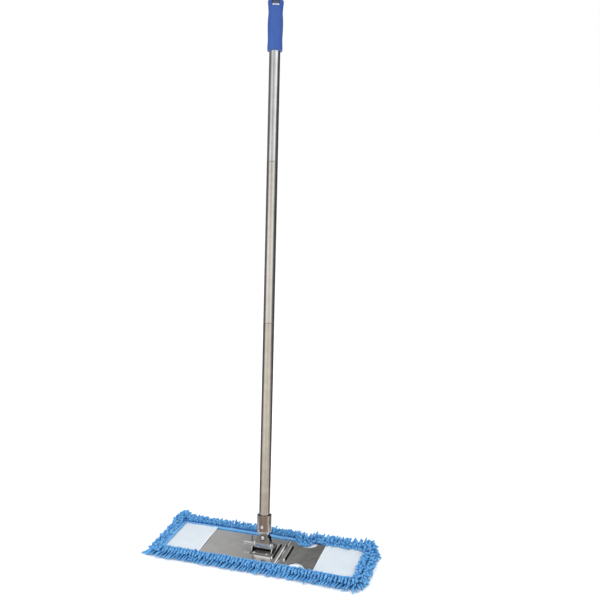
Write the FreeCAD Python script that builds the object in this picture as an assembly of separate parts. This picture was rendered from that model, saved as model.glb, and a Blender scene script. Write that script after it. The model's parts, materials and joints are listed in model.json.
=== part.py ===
import FreeCAD, Part
import math
import os

# Flat dust mop: a folding steel plate in a fringed pad, a two-axis pivot and a three-piece steel pole.
# Frame: origin on the floor under the pivot pin, +X along the pad, +Y to the back, +Z up. Millimetres.

Vector = FreeCAD.Vector
AXIS_X = Vector(1, 0, 0)
AXIS_Y = Vector(0, 1, 0)
AXIS_Z = Vector(0, 0, 1)

# ---- driving dimensions: pad ----
PAD_HALF_LENGTH = 253.0
PAD_HALF_WIDTH = 82.0
PAD_CORNER_RADIUS = 20.0
WELL_HALF_LENGTH = 222.0  # the sunken middle that the plate lies in
WELL_HALF_WIDTH = 59.0
BACKING_HEIGHT = 12.5
FRINGE_HEIGHT = 22.0
POCKET_MOUTH_LEFT = -136.5
POCKET_MOUTH_RIGHT = 131.5
POCKET_THICKNESS = 1.5

# ---- driving dimensions: folding plate ----
PLATE_HALF_LENGTH = 216.0
PLATE_HALF_WIDTH = 57.0
PLATE_THICKNESS = 1.2
PLATE_CORNER_RADIUS = 14.0
HINGE_X = 44.5
KNUCKLE_RADIUS = 2.6
KNUCKLE_COUNT = 5
KNUCKLE_SPAN = 106.0
KNUCKLE_GAP = 0.5
KNUCKLE_NOTCH = 4.5  # how far each leaf stands back from the hinge axis beside the other's knuckle
HINGE_PIN_RADIUS = 1.4
HINGE_PIN_OVERHANG = 1.2
HINGE_HEAD_RADIUS = 2.3
FOLD_HALF_ANGLE = 40.0  # slope of the groove that lets the pad fold
FOLD_HALF_GAP = 1.5
RIB_OFFSET = 14.5
RIB_HALF_LENGTH = 33.0
RIB_WIDTH = 10.0
RIB_HEIGHT = 3.0
RIB_ROOT = 0.3  # how far above the underside of the sheet a rib starts
FINGER_NOTCH_X = 90.0
FINGER_NOTCH_RADIUS = 22.0

# ---- driving dimensions: bracket and pivot pin ----
PIVOT_HEIGHT = 24.5
BRACKET_HALF_LENGTH = 25.0
BRACKET_HALF_WIDTH = 26.0
BRACKET_THICKNESS = 1.5
BRACKET_CORNER_RADIUS = 4.0
EAR_INNER_X = 22.3
EAR_THICKNESS = 2.2
EAR_TOP_RADIUS = 8.5
EAR_BASE_HALF_WIDTH = 18.0
RIVET_X = 15.0
RIVET_Y = 20.5
RIVET_SHANK_RADIUS = 2.0
RIVET_HEAD_RADIUS = 3.6
RIVET_HEAD_HEIGHT = 1.4
PIVOT_PIN_RADIUS = 4.0
PIVOT_PIN_LEFT_X = -48.0
PIVOT_PIN_CHAMFER = 0.8
PIVOT_HEAD_RADIUS = 6.0
PIVOT_HEAD_HEIGHT = 2.6
CLIP_X = -27.5
CLIP_WIRE_RADIUS = 0.9
CLIP_ABOVE = 15.0
CLIP_BELOW = 8.5
CLIP_BEND_RADIUS = 3.5
CLIP_TILT = 12.0
CLIP_GAP = 0.15
CLIP_HUG_LOW = 1.0  # the second leg hugs the pin down to here, then flares out
CLIP_FLARE = 1.6
CLIP_FLARE_LOW = -4.5

# ---- driving dimensions: fork and swing bolt, measured up the pole from the pivot pin ----
BARREL_RADIUS = 8.5
BARREL_BORE_RADIUS = 6.2
BARREL_HALF_LENGTH = 21.8
BARREL_RIM_RADIUS = 0.8
RUNNING_CLEARANCE = 0.05
FORK_PLATE_THICKNESS = 2.0
FORK_BASE_HALF_WIDTH = 18.0
FORK_BASE_HEIGHT = 3.0
FORK_WAIST_HALF_WIDTH = 15.0
FORK_TOP_RADIUS = 11.0
FORK_TOP_ANGLE = 48.0
BOLT_HEIGHT = 18.5
BOLT_RADIUS = 3.0
BOLT_HEAD_RADIUS = 4.6
BOLT_HEAD_HEIGHT = 3.4
NUT_ACROSS_FLATS = 10.0
NUT_HEIGHT = 5.0
BOLT_END = 1.5  # thread showing past the nut
BOLT_WASHER_RADIUS = 7.2
BOLT_WASHER_THICKNESS = 1.2
FRICTION_WASHER_RADIUS = 7.0
FRICTION_WASHER_THICKNESS = 0.8
TONGUE_SIDE_GAP = 0.2
TONGUE_RADIUS = 9.0

# ---- driving dimensions: pole, measured up the pole from the pivot pin ----
SOCKET_BOTTOM = 30.0
SOCKET_TOP = 69.5
SOCKET_RADIUS = 16.5
SOCKET_WALL = 1.5
SOCKET_FLOOR = 3.0
SOCKET_EDGE_RADIUS = 2.5
SOCKET_LIP_RADIUS = 0.5
SLEEVE_RECESS = 1.6
SOCKET_RIVET_HEIGHT = 44.5
SOCKET_RIVET_RADIUS = 2.5
SOCKET_RIVET_HEAD_RADIUS = 3.6
SOCKET_RIVET_HEAD_HEIGHT = 1.8
SOCKET_RIVET_SINK = 0.4  # the heads bear on the round wall a little inside its outermost line
TUBE_RADIUS = 12.5
TUBE_WALL = 0.7
LOWER_JOINT_HEIGHT = 502.0
UPPER_JOINT_HEIGHT = 865.0
TUBE_TOP = 1204.0
JOINT_COLLAR_HALF_HEIGHT = 0.6
PLUG_LENGTH = 30.0
STUD_RADIUS = 7.0
STUD_LENGTH = 24.0
STUD_RIDGE_PITCH = 3.0
STUD_RIDGE_DEPTH = 0.9
INSERT_LENGTH = 34.0
INSERT_BORE_CLEARANCE = 0.1

# ---- driving dimensions: grip ----
GRIP_BOTTOM = 1114.5
GRIP_TOP = 1241.0
GRIP_OUTLINE = (  # radius and height above the grip's lower end
    (17.1, 2.0),
    (17.0, 12.0),
    (16.5, 24.0),
    (16.8, 36.0),
    (17.45, 55.0),
    (16.9, 74.0),
    (16.2, 86.0),
    (16.8, 96.0),
    (17.9, 109.0),
    (18.0, 111.5),
)
GRIP_LIP_RADIUS = 16.3
GRIP_LIP_MIDDLE = (16.9, 0.6)
CROWN_EDGE_RADIUS = 15.6
CROWN_EDGE_RISE = 3.5
CROWN_RADIUS = 13.5
CROWN_HEIGHT = 3.2
GRIP_TURN = 18.0  # the hanging slot is turned this far about the pole
SLOT_CENTRE = 1220.5
SLOT_HALF_WIDTH = 9.2
SLOT_HALF_HEIGHT = 7.0
SLOT_CORNER_RADIUS = 4.0

# ---- rest pose ----
REST_LEAN = 12.0  # the pole leans back
REST_SWING = -2.33  # and a little to the left

# ---- shared small sizes ----
CROWN_SHARE = 0.65  # the rounded part of a rivet, bolt or pin head
OVERRUN = 1.0  # how far a cutting shape runs past what it cuts, or one piece is let into the next
SAME_PLACE = 0.1

# ---- derived ----
PLATE_BOTTOM = BACKING_HEIGHT
PLATE_TOP = PLATE_BOTTOM + PLATE_THICKNESS
HINGE_Z = PLATE_BOTTOM + KNUCKLE_RADIUS
BRACKET_TOP = PLATE_TOP + BRACKET_THICKNESS
EAR_OUTER_X = EAR_INNER_X + EAR_THICKNESS
FORK_INNER_Y = BARREL_RADIUS - FORK_PLATE_THICKNESS
TONGUE_HALF_THICKNESS = FORK_INNER_Y - FRICTION_WASHER_THICKNESS - TONGUE_SIDE_GAP
SOCKET_BORE_RADIUS = SOCKET_RADIUS - SOCKET_WALL
SOCKET_INSIDE_BOTTOM = SOCKET_BOTTOM + SOCKET_FLOOR
TUBE_BORE_RADIUS = TUBE_RADIUS - TUBE_WALL


# ---- helpers ----
def block(x_range, y_range, z_range):
    """A box between two corners."""
    size = [high - low for low, high in (x_range, y_range, z_range)]
    return Part.makeBox(*size, Vector(x_range[0], y_range[0], z_range[0]))


def rod(axis, start, length, radius):
    """A round bar from start along axis."""
    return Part.makeCylinder(radius, length, start, axis)


def ring(axis, start, length, outer, inner):
    """A tube from start along axis."""
    return rod(axis, start, length, outer).cut(rod(axis, start, length, inner))


def outline_face(points):
    """A flat face inside straight edges through the points."""
    return Part.Face(Part.makePolygon(list(points) + [points[0]]))


def turned(profile):
    """A solid turned about Z from (radius, height) points."""
    face = outline_face([Vector(radius, 0, height) for radius, height in profile])
    return face.revolve(Vector(0, 0, 0), AXIS_Z, 360)


def cap_arc(radius, rim, top):
    """The outline of a round cap: a sphere's arc from (radius, rim) to the axis at height top."""
    rise = top - rim
    sphere_radius = (radius**2 + rise**2) / (2.0 * rise)
    centre = top - sphere_radius
    half_angle = math.asin(radius / sphere_radius) / 2.0
    middle = Vector(sphere_radius * math.sin(half_angle), 0, centre + sphere_radius * math.cos(half_angle))
    return Part.Arc(Vector(radius, 0, rim), middle, Vector(0, 0, top)).toShape()


def domed_head(radius, height):
    """A rivet or pin head: flat face at z = 0, a straight rim, then a round crown."""
    rim = height * (1.0 - CROWN_SHARE)
    edges = [
        Part.LineSegment(Vector(0, 0, 0), Vector(radius, 0, 0)).toShape(),
        Part.LineSegment(Vector(radius, 0, 0), Vector(radius, 0, rim)).toShape(),
        cap_arc(radius, rim, height),
        Part.LineSegment(Vector(0, 0, height), Vector(0, 0, 0)).toShape(),
    ]
    return Part.Face(Part.Wire(edges)).revolve(Vector(0, 0, 0), AXIS_Z, 360)


def aimed(shape, axis, start):
    """Turn a shape made along +Z so that it points along axis, then move it to start."""
    result = shape.copy()
    result.Placement = FreeCAD.Placement(start, FreeCAD.Rotation(AXIS_Z, axis))
    return result


def fuse_all(shapes):
    """One solid from many that touch or overlap."""
    return shapes[0].multiFuse(shapes[1:]).removeSplitter()


def edges_at(shape, axis, place):
    """The edges whose middle lies at a place along one axis."""
    return [edge for edge in shape.Edges if abs(edge.CenterOfMass.dot(axis) - place) < SAME_PLACE]


def upright_edges(shape, x_test):
    """The vertical edges whose middle passes x_test."""
    chosen = []
    for edge in shape.Edges:
        direction = edge.tangentAt(edge.FirstParameter)
        if abs(direction.z) > 0.99 and x_test(edge.CenterOfMass):
            chosen.append(edge)
    return chosen


def leaned(shape):
    """Put an upright fork piece, made about the pivot pin, into the rest pose."""
    result = shape.copy()
    result.rotate(Vector(0, 0, 0), AXIS_X, -REST_LEAN)
    result.translate(Vector(0, 0, PIVOT_HEIGHT))
    return result


def swung(shape):
    """Put an upright pole piece into the rest pose."""
    result = shape.copy()
    result.rotate(Vector(0, 0, BOLT_HEIGHT), AXIS_Y, REST_SWING)
    return leaned(result)


# ---- pad ----
def fold_gap():
    """The groove across the pad under the plate hinge: it closes as the wing folds down."""
    slope = math.tan(math.radians(FOLD_HALF_ANGLE))
    base = FOLD_HALF_GAP + (HINGE_Z + OVERRUN) * slope
    top = FRINGE_HEIGHT + OVERRUN
    section = [
        (-base, -OVERRUN),
        (base, -OVERRUN),
        (FOLD_HALF_GAP, HINGE_Z),
        (FOLD_HALF_GAP, top),
        (-FOLD_HALF_GAP, top),
        (-FOLD_HALF_GAP, HINGE_Z),
    ]
    depth = 2.0 * (PAD_HALF_WIDTH + OVERRUN)
    face = outline_face([Vector(HINGE_X + x, -depth / 2.0, z) for x, z in section])
    return face.extrude(Vector(0, depth, 0))


def side_range(side, near, far):
    """The X range from near to far on one side of the fold, in rising order."""
    return (far, near) if side < 0 else (near, far)


def pad_backing(side):
    """Cloth and pile under the plate, on one side of the fold."""
    x_range = side_range(side, HINGE_X, side * WELL_HALF_LENGTH)
    return block(x_range, (-WELL_HALF_WIDTH, WELL_HALF_WIDTH), (0.0, BACKING_HEIGHT)).cut(fold_gap())


def fringe_strip(side, edge):
    """The tufted border along one long edge, on one side of the fold."""
    x_range = side_range(side, HINGE_X, side * PAD_HALF_LENGTH)
    y_range = side_range(edge, edge * WELL_HALF_WIDTH, edge * PAD_HALF_WIDTH)
    strip = block(x_range, y_range, (0.0, FRINGE_HEIGHT))
    outer_corner = upright_edges(
        strip,
        lambda middle: abs(middle.x) > WELL_HALF_LENGTH and abs(middle.y) > WELL_HALF_WIDTH + SAME_PLACE,
    )
    return strip.makeFillet(PAD_CORNER_RADIUS, outer_corner).cut(fold_gap())


def fringe_end(side):
    """The tufted border along one short edge."""
    x_range = side_range(side, side * WELL_HALF_LENGTH, side * PAD_HALF_LENGTH)
    return block(x_range, (-WELL_HALF_WIDTH, WELL_HALF_WIDTH), (0.0, FRINGE_HEIGHT))


def pocket(side, mouth):
    """The cloth pocket over one end of the plate."""
    x_range = side_range(side, mouth, side * WELL_HALF_LENGTH)
    z_range = (PLATE_TOP, PLATE_TOP + POCKET_THICKNESS)
    return block(x_range, (-WELL_HALF_WIDTH, WELL_HALF_WIDTH), z_range)


# ---- folding plate ----
def knuckle_range(index):
    """The Y range of one hinge knuckle."""
    pitch = KNUCKLE_SPAN / KNUCKLE_COUNT
    low = -KNUCKLE_SPAN / 2.0 + index * pitch
    return low + KNUCKLE_GAP / 2.0, low + pitch - KNUCKLE_GAP / 2.0


def knuckle(side, index):
    """One rolled knuckle and the tab that joins it to its leaf."""
    low, high = knuckle_range(index)
    roll = rod(AXIS_Y, Vector(HINGE_X, low, HINGE_Z), high - low, KNUCKLE_RADIUS)
    x_range = side_range(side, HINGE_X, HINGE_X + side * (KNUCKLE_NOTCH + OVERRUN))
    tab = block(x_range, (low, high), (PLATE_BOTTOM, PLATE_TOP))
    return roll.fuse(tab)


def rib(x_centre):
    """A pressed stiffening rib with round ends, standing on the plate."""
    radius = (RIB_WIDTH**2 / 4.0 + RIB_HEIGHT**2) / (2.0 * RIB_HEIGHT)
    axis_z = PLATE_TOP + RIB_HEIGHT - radius
    reach = RIB_HALF_LENGTH - RIB_WIDTH / 2.0
    ends = [Vector(x_centre, y, axis_z) for y in (-reach, reach)]
    body = rod(AXIS_Y, ends[0], 2.0 * reach, radius)
    solid = fuse_all([body] + [Part.makeSphere(radius, end) for end in ends])
    above = block(
        (x_centre - RIB_WIDTH, x_centre + RIB_WIDTH),
        (-RIB_HALF_LENGTH - RIB_WIDTH, RIB_HALF_LENGTH + RIB_WIDTH),
        (PLATE_BOTTOM + RIB_ROOT, PLATE_TOP + RIB_HEIGHT + OVERRUN),
    )
    return solid.common(above)


def leaf(side, knuckles, bore_radius):
    """One leaf of the plate: sheet, rib and its hinge knuckles."""
    x_range = side_range(side, HINGE_X + side * KNUCKLE_NOTCH, side * PLATE_HALF_LENGTH)
    sheet = block(x_range, (-PLATE_HALF_WIDTH, PLATE_HALF_WIDTH), (PLATE_BOTTOM, PLATE_TOP))
    far_corners = upright_edges(sheet, lambda middle: abs(middle.x) > PLATE_HALF_LENGTH - SAME_PLACE)
    sheet = sheet.makeFillet(PLATE_CORNER_RADIUS, far_corners)
    solid = fuse_all([sheet, rib(HINGE_X + side * RIB_OFFSET)] + [knuckle(side, i) for i in knuckles])
    bore = rod(AXIS_Y, Vector(HINGE_X, -KNUCKLE_SPAN, HINGE_Z), 2.0 * KNUCKLE_SPAN, bore_radius)
    return solid.cut(bore)


def left_plate():
    """The leaf that carries the pole bracket."""
    return leaf(-1, (0, 2, 4), HINGE_PIN_RADIUS).cut(rivet_shanks())


def right_plate():
    """The leaf that folds, with a finger notch in each long edge."""
    solid = leaf(1, (1, 3), HINGE_PIN_RADIUS + RUNNING_CLEARANCE)
    for y in (-PLATE_HALF_WIDTH, PLATE_HALF_WIDTH):
        base = Vector(FINGER_NOTCH_X, y, PLATE_BOTTOM - OVERRUN)
        solid = solid.cut(rod(AXIS_Z, base, PLATE_THICKNESS + 2.0 * OVERRUN, FINGER_NOTCH_RADIUS))
    return solid


def fold_hinge_pin():
    """A wire pin through all the knuckles, with a small head at each end."""
    half = KNUCKLE_SPAN / 2.0
    shank = rod(AXIS_Y, Vector(HINGE_X, -half, HINGE_Z), 2.0 * half, HINGE_PIN_RADIUS)
    head = domed_head(HINGE_HEAD_RADIUS, HINGE_PIN_OVERHANG)
    front = aimed(head, -AXIS_Y, Vector(HINGE_X, -half, HINGE_Z))
    back = aimed(head, AXIS_Y, Vector(HINGE_X, half, HINGE_Z))
    return fuse_all([shank, front, back])


# ---- bracket ----
def rivet_places():
    """The four bracket rivets, as points on the plate's underside."""
    return [Vector(x, y, PLATE_BOTTOM) for x in (-RIVET_X, RIVET_X) for y in (-RIVET_Y, RIVET_Y)]


def rivet_shanks():
    """The four shanks as one shape, for cutting their holes."""
    height = BRACKET_TOP - PLATE_BOTTOM
    return Part.makeCompound([rod(AXIS_Z, place, height, RIVET_SHANK_RADIUS) for place in rivet_places()])


def bracket_rivets():
    """Four flush-bottomed rivets with low round heads."""
    height = BRACKET_TOP - PLATE_BOTTOM
    rivets = []
    for place in rivet_places():
        shank = rod(AXIS_Z, place, height, RIVET_SHANK_RADIUS)
        head = domed_head(RIVET_HEAD_RADIUS, RIVET_HEAD_HEIGHT)
        rivets.append(shank.fuse(aimed(head, AXIS_Z, place + Vector(0, 0, height))).removeSplitter())
    return Part.makeCompound(rivets)


def ear(x_low):
    """One upright ear of the bracket: wide foot, round top about the pivot pin."""
    top = PIVOT_HEIGHT + EAR_TOP_RADIUS
    wide, narrow = EAR_BASE_HALF_WIDTH, EAR_TOP_RADIUS
    points = {
        "foot_front": Vector(x_low, -wide, PLATE_TOP),
        "side_front": Vector(x_low, -narrow, PIVOT_HEIGHT),
        "top": Vector(x_low, 0, top),
        "side_back": Vector(x_low, narrow, PIVOT_HEIGHT),
        "foot_back": Vector(x_low, wide, PLATE_TOP),
    }
    edges = [
        Part.LineSegment(points["foot_front"], points["side_front"]).toShape(),
        Part.Arc(points["side_front"], points["top"], points["side_back"]).toShape(),
        Part.LineSegment(points["side_back"], points["foot_back"]).toShape(),
        Part.LineSegment(points["foot_back"], points["foot_front"]).toShape(),
    ]
    return Part.Face(Part.Wire(edges)).extrude(Vector(EAR_THICKNESS, 0, 0))


def pivot_bracket():
    """A pressed saddle: foot riveted to the plate, an ear at each side for the pivot pin."""
    foot = block(
        (-BRACKET_HALF_LENGTH, BRACKET_HALF_LENGTH),
        (-BRACKET_HALF_WIDTH, BRACKET_HALF_WIDTH),
        (PLATE_TOP, BRACKET_TOP),
    )
    foot = foot.makeFillet(BRACKET_CORNER_RADIUS, upright_edges(foot, lambda middle: True))
    solid = fuse_all([foot, ear(EAR_INNER_X), ear(-EAR_OUTER_X)])
    reach = EAR_OUTER_X + OVERRUN
    pin_hole = rod(AXIS_X, Vector(-reach, 0, PIVOT_HEIGHT), 2.0 * reach, PIVOT_PIN_RADIUS)
    return solid.cut(pin_hole).cut(rivet_shanks())


def pivot_pin():
    """A long headed pin through both ears, cross-drilled for its clip."""
    length = EAR_OUTER_X - PIVOT_PIN_LEFT_X
    shank = rod(AXIS_X, Vector(PIVOT_PIN_LEFT_X, 0, PIVOT_HEIGHT), length, PIVOT_PIN_RADIUS)
    shank = shank.makeChamfer(PIVOT_PIN_CHAMFER, edges_at(shank, AXIS_X, PIVOT_PIN_LEFT_X))
    head = domed_head(PIVOT_HEAD_RADIUS, PIVOT_HEAD_HEIGHT)
    solid = shank.fuse(aimed(head, AXIS_X, Vector(EAR_OUTER_X, 0, PIVOT_HEIGHT))).removeSplitter()
    return solid.cut(clip_straight_leg())


def clip_straight_leg():
    """The clip's leg through the pin, tilted with the clip."""
    leg = rod(AXIS_Z, Vector(CLIP_X, 0, -CLIP_BELOW), CLIP_BELOW + CLIP_ABOVE, CLIP_WIRE_RADIUS)
    leg.rotate(Vector(CLIP_X, 0, 0), AXIS_X, CLIP_TILT)
    leg.translate(Vector(0, 0, PIVOT_HEIGHT))
    return leg


def pivot_pin_clip():
    """A wire hairpin clip: a straight leg, a round bend at the top and a leg that hugs the pin."""
    hug_y = PIVOT_PIN_RADIUS + CLIP_WIRE_RADIUS + CLIP_GAP
    leg_low = Vector(CLIP_X, 0, -CLIP_BELOW)
    leg_high = Vector(CLIP_X, 0, CLIP_ABOVE)
    bend_top = Vector(CLIP_X, CLIP_BEND_RADIUS, CLIP_ABOVE + CLIP_BEND_RADIUS)
    bend_end = Vector(CLIP_X, 2.0 * CLIP_BEND_RADIUS, CLIP_ABOVE)
    hug_low = Vector(CLIP_X, hug_y, CLIP_HUG_LOW)
    flare_end = Vector(CLIP_X, hug_y + CLIP_FLARE, CLIP_FLARE_LOW)
    path = Part.Wire(
        [
            Part.LineSegment(leg_low, leg_high).toShape(),
            Part.Arc(leg_high, bend_top, bend_end).toShape(),
            Part.LineSegment(bend_end, hug_low).toShape(),
            Part.LineSegment(hug_low, flare_end).toShape(),
        ]
    )
    section = Part.Wire(Part.makeCircle(CLIP_WIRE_RADIUS, leg_low, AXIS_Z))
    clip = path.makePipeShell([section], True, True, 2)
    clip.rotate(Vector(CLIP_X, 0, 0), AXIS_X, CLIP_TILT)
    clip.translate(Vector(0, 0, PIVOT_HEIGHT))
    return clip


# ---- fork and swing bolt, upright about the pivot pin ----
def fork_plate(y_low):
    """One cheek of the fork: round top about the bolt, shoulders, and a wide foot on the barrel."""
    angle = math.radians(FORK_TOP_ANGLE)
    arc_x = FORK_TOP_RADIUS * math.sin(angle)
    arc_z = BOLT_HEIGHT + FORK_TOP_RADIUS * math.cos(angle)
    drop = (FORK_WAIST_HALF_WIDTH - arc_x) * math.tan(angle)
    shoulder_z = arc_z - drop
    crown = Vector(0, y_low, BOLT_HEIGHT + FORK_TOP_RADIUS)
    right = [
        Vector(arc_x, y_low, arc_z),
        Vector(FORK_WAIST_HALF_WIDTH, y_low, shoulder_z),
        Vector(FORK_BASE_HALF_WIDTH, y_low, FORK_BASE_HEIGHT),
        Vector(FORK_BASE_HALF_WIDTH, y_low, 0.0),
    ]
    left = [Vector(-p.x, p.y, p.z) for p in reversed(right)]
    corners = right + left
    edges = [Part.LineSegment(a, b).toShape() for a, b in zip(corners, corners[1:])]
    edges.append(Part.Arc(left[-1], crown, right[0]).toShape())
    return Part.Face(Part.Wire(edges)).extrude(Vector(0, FORK_PLATE_THICKNESS, 0))


def pivot_fork():
    """The fork: a barrel on the pivot pin with two cheeks rising from it."""
    start = Vector(-BARREL_HALF_LENGTH, 0, 0)
    barrel = rod(AXIS_X, start, 2.0 * BARREL_HALF_LENGTH, BARREL_RADIUS)
    rims = edges_at(barrel, AXIS_X, -BARREL_HALF_LENGTH) + edges_at(barrel, AXIS_X, BARREL_HALF_LENGTH)
    barrel = barrel.makeFillet(BARREL_RIM_RADIUS, rims)
    solid = fuse_all([barrel, fork_plate(-BARREL_RADIUS), fork_plate(FORK_INNER_Y)])
    bore_half = BARREL_HALF_LENGTH + OVERRUN
    bore = rod(AXIS_X, Vector(-bore_half, 0, 0), 2.0 * bore_half, BARREL_BORE_RADIUS)
    hole_half = BARREL_RADIUS + OVERRUN
    bolt_hole = rod(AXIS_Y, Vector(0, -hole_half, BOLT_HEIGHT), 2.0 * hole_half, BOLT_RADIUS)
    return solid.cut(bore).cut(bolt_hole)


def pivot_bushing():
    """A plastic sleeve between the barrel and the pin."""
    bore = PIVOT_PIN_RADIUS + RUNNING_CLEARANCE
    start = Vector(-BARREL_HALF_LENGTH, 0, 0)
    return ring(AXIS_X, start, 2.0 * BARREL_HALF_LENGTH, BARREL_BORE_RADIUS, bore)


def bolt_washers():
    """A steel washer outside each cheek."""
    front = Vector(0, -BARREL_RADIUS - BOLT_WASHER_THICKNESS, BOLT_HEIGHT)
    back = Vector(0, BARREL_RADIUS, BOLT_HEIGHT)
    size = (BOLT_WASHER_THICKNESS, BOLT_WASHER_RADIUS, BOLT_RADIUS)
    return Part.makeCompound([ring(AXIS_Y, place, *size) for place in (front, back)])


def friction_washers():
    """A plastic washer inside each cheek, beside the socket's tongue."""
    front = Vector(0, -FORK_INNER_Y, BOLT_HEIGHT)
    back = Vector(0, FORK_INNER_Y - FRICTION_WASHER_THICKNESS, BOLT_HEIGHT)
    size = (FRICTION_WASHER_THICKNESS, FRICTION_WASHER_RADIUS, BOLT_RADIUS)
    return Part.makeCompound([ring(AXIS_Y, place, *size) for place in (front, back)])


def swing_bolt():
    """A round-headed bolt through fork and tongue, head to the front."""
    face = BARREL_RADIUS + BOLT_WASHER_THICKNESS
    end = face + NUT_HEIGHT + BOLT_END
    shank = rod(AXIS_Y, Vector(0, -face, BOLT_HEIGHT), face + end, BOLT_RADIUS)
    head = domed_head(BOLT_HEAD_RADIUS, BOLT_HEAD_HEIGHT)
    return shank.fuse(aimed(head, -AXIS_Y, Vector(0, -face, BOLT_HEIGHT))).removeSplitter()


def swing_bolt_nut():
    """A hexagon nut at the back, its corners chamfered."""
    corner_radius = NUT_ACROSS_FLATS / 2.0 / math.cos(math.pi / 6.0)
    angles = [math.pi / 3.0 * step for step in range(6)]
    corners = [Vector(math.cos(angle), math.sin(angle), 0) * corner_radius for angle in angles]
    prism = outline_face(corners).extrude(Vector(0, 0, NUT_HEIGHT))
    cone = Part.makeCone(corner_radius + NUT_HEIGHT, NUT_ACROSS_FLATS / 2.0, NUT_HEIGHT)
    bore = rod(AXIS_Z, Vector(0, 0, -OVERRUN), NUT_HEIGHT + 2.0 * OVERRUN, BOLT_RADIUS)
    nut = prism.common(cone).cut(bore)
    return aimed(nut, AXIS_Y, Vector(0, BARREL_RADIUS + BOLT_WASHER_THICKNESS, BOLT_HEIGHT))


# ---- pole, upright about the pivot pin ----
def tongue():
    """The flat tongue under the socket that swings between the cheeks."""
    y_low = -TONGUE_HALF_THICKNESS
    depth = 2.0 * TONGUE_HALF_THICKNESS
    eye = rod(AXIS_Y, Vector(0, y_low, BOLT_HEIGHT), depth, TONGUE_RADIUS)
    neck = block((-TONGUE_RADIUS, TONGUE_RADIUS), (y_low, -y_low), (BOLT_HEIGHT, SOCKET_BOTTOM + OVERRUN))
    return eye.fuse(neck)


def pole_socket():
    """The steel cup that holds the pole, closed below and carried by its tongue."""
    height = SOCKET_TOP - SOCKET_BOTTOM
    cup = rod(AXIS_Z, Vector(0, 0, SOCKET_BOTTOM), height, SOCKET_RADIUS)
    cup = cup.makeFillet(SOCKET_EDGE_RADIUS, edges_at(cup, AXIS_Z, SOCKET_BOTTOM))
    cup = cup.makeFillet(SOCKET_LIP_RADIUS, edges_at(cup, AXIS_Z, SOCKET_TOP))
    cup = cup.cut(rod(AXIS_Z, Vector(0, 0, SOCKET_INSIDE_BOTTOM), height, SOCKET_BORE_RADIUS))
    solid = fuse_all([cup, tongue()])
    bore = BOLT_RADIUS + RUNNING_CLEARANCE
    solid = solid.cut(rod(AXIS_Y, Vector(0, -SOCKET_RADIUS, BOLT_HEIGHT), 2.0 * SOCKET_RADIUS, bore))
    return solid.cut(socket_rivet_shank())


def socket_rivet_shank():
    """The rivet's shank across the socket."""
    half = SOCKET_RADIUS + SOCKET_RIVET_SINK
    return rod(AXIS_Y, Vector(0, -half, SOCKET_RIVET_HEIGHT), 2.0 * half, SOCKET_RIVET_RADIUS)


def socket_rivet():
    """A rivet through socket, sleeve and tube, headed on both sides."""
    seat = SOCKET_RADIUS - SOCKET_RIVET_SINK
    head = domed_head(SOCKET_RIVET_HEAD_RADIUS, SOCKET_RIVET_HEAD_HEIGHT)
    heads = []
    for sign in (-1.0, 1.0):
        placed = aimed(head, AXIS_Y * sign, Vector(0, sign * seat, SOCKET_RIVET_HEIGHT))
        heads.append(placed.cut(rod(AXIS_Z, Vector(0, 0, SOCKET_BOTTOM), SOCKET_TOP, SOCKET_RADIUS)))
    return fuse_all([socket_rivet_shank()] + heads)


def socket_sleeve():
    """A plastic sleeve that takes up the space between tube and socket."""
    start = Vector(0, 0, SOCKET_INSIDE_BOTTOM)
    length = SOCKET_TOP - SLEEVE_RECESS - SOCKET_INSIDE_BOTTOM
    return ring(AXIS_Z, start, length, SOCKET_BORE_RADIUS, TUBE_RADIUS).cut(socket_rivet_shank())


def tube(low, high):
    """One thin steel section of the pole."""
    return ring(AXIS_Z, Vector(0, 0, low), high - low, TUBE_RADIUS, TUBE_BORE_RADIUS)


def lower_tube():
    """The section held by the socket."""
    whole = tube(SOCKET_INSIDE_BOTTOM, LOWER_JOINT_HEIGHT - JOINT_COLLAR_HALF_HEIGHT)
    return whole.cut(socket_rivet_shank())


def middle_tube():
    """The section between the two screw joints."""
    gap = JOINT_COLLAR_HALF_HEIGHT
    return tube(LOWER_JOINT_HEIGHT + gap, UPPER_JOINT_HEIGHT - gap)


def upper_tube():
    """The section that carries the grip."""
    return tube(UPPER_JOINT_HEIGHT + JOINT_COLLAR_HALF_HEIGHT, TUBE_TOP)


def joint_plug(height):
    """The male half of a screw joint: a plug in the lower tube with a ridged stud."""
    base = height - JOINT_COLLAR_HALF_HEIGHT
    profile = [(0.0, base - PLUG_LENGTH), (TUBE_BORE_RADIUS, base - PLUG_LENGTH), (TUBE_BORE_RADIUS, base)]
    ridge_count = int(STUD_LENGTH / STUD_RIDGE_PITCH)
    for index in range(ridge_count):
        foot = base + index * STUD_RIDGE_PITCH
        profile.append((STUD_RADIUS - STUD_RIDGE_DEPTH, foot))
        profile.append((STUD_RADIUS, foot + STUD_RIDGE_PITCH / 2.0))
    profile.append((STUD_RADIUS - STUD_RIDGE_DEPTH, base + STUD_LENGTH))
    profile.append((0.0, base + STUD_LENGTH))
    return turned(profile)


def joint_insert(height):
    """The female half: a bored insert in the upper tube, its collar showing at the seam."""
    collar_low = height - JOINT_COLLAR_HALF_HEIGHT
    collar_high = height + JOINT_COLLAR_HALF_HEIGHT
    bore = STUD_RADIUS + INSERT_BORE_CLEARANCE
    profile = [
        (bore, collar_low),
        (TUBE_RADIUS, collar_low),
        (TUBE_RADIUS, collar_high),
        (TUBE_BORE_RADIUS, collar_high),
        (TUBE_BORE_RADIUS, collar_high + INSERT_LENGTH),
        (bore, collar_high + INSERT_LENGTH),
    ]
    return turned(profile)


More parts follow.
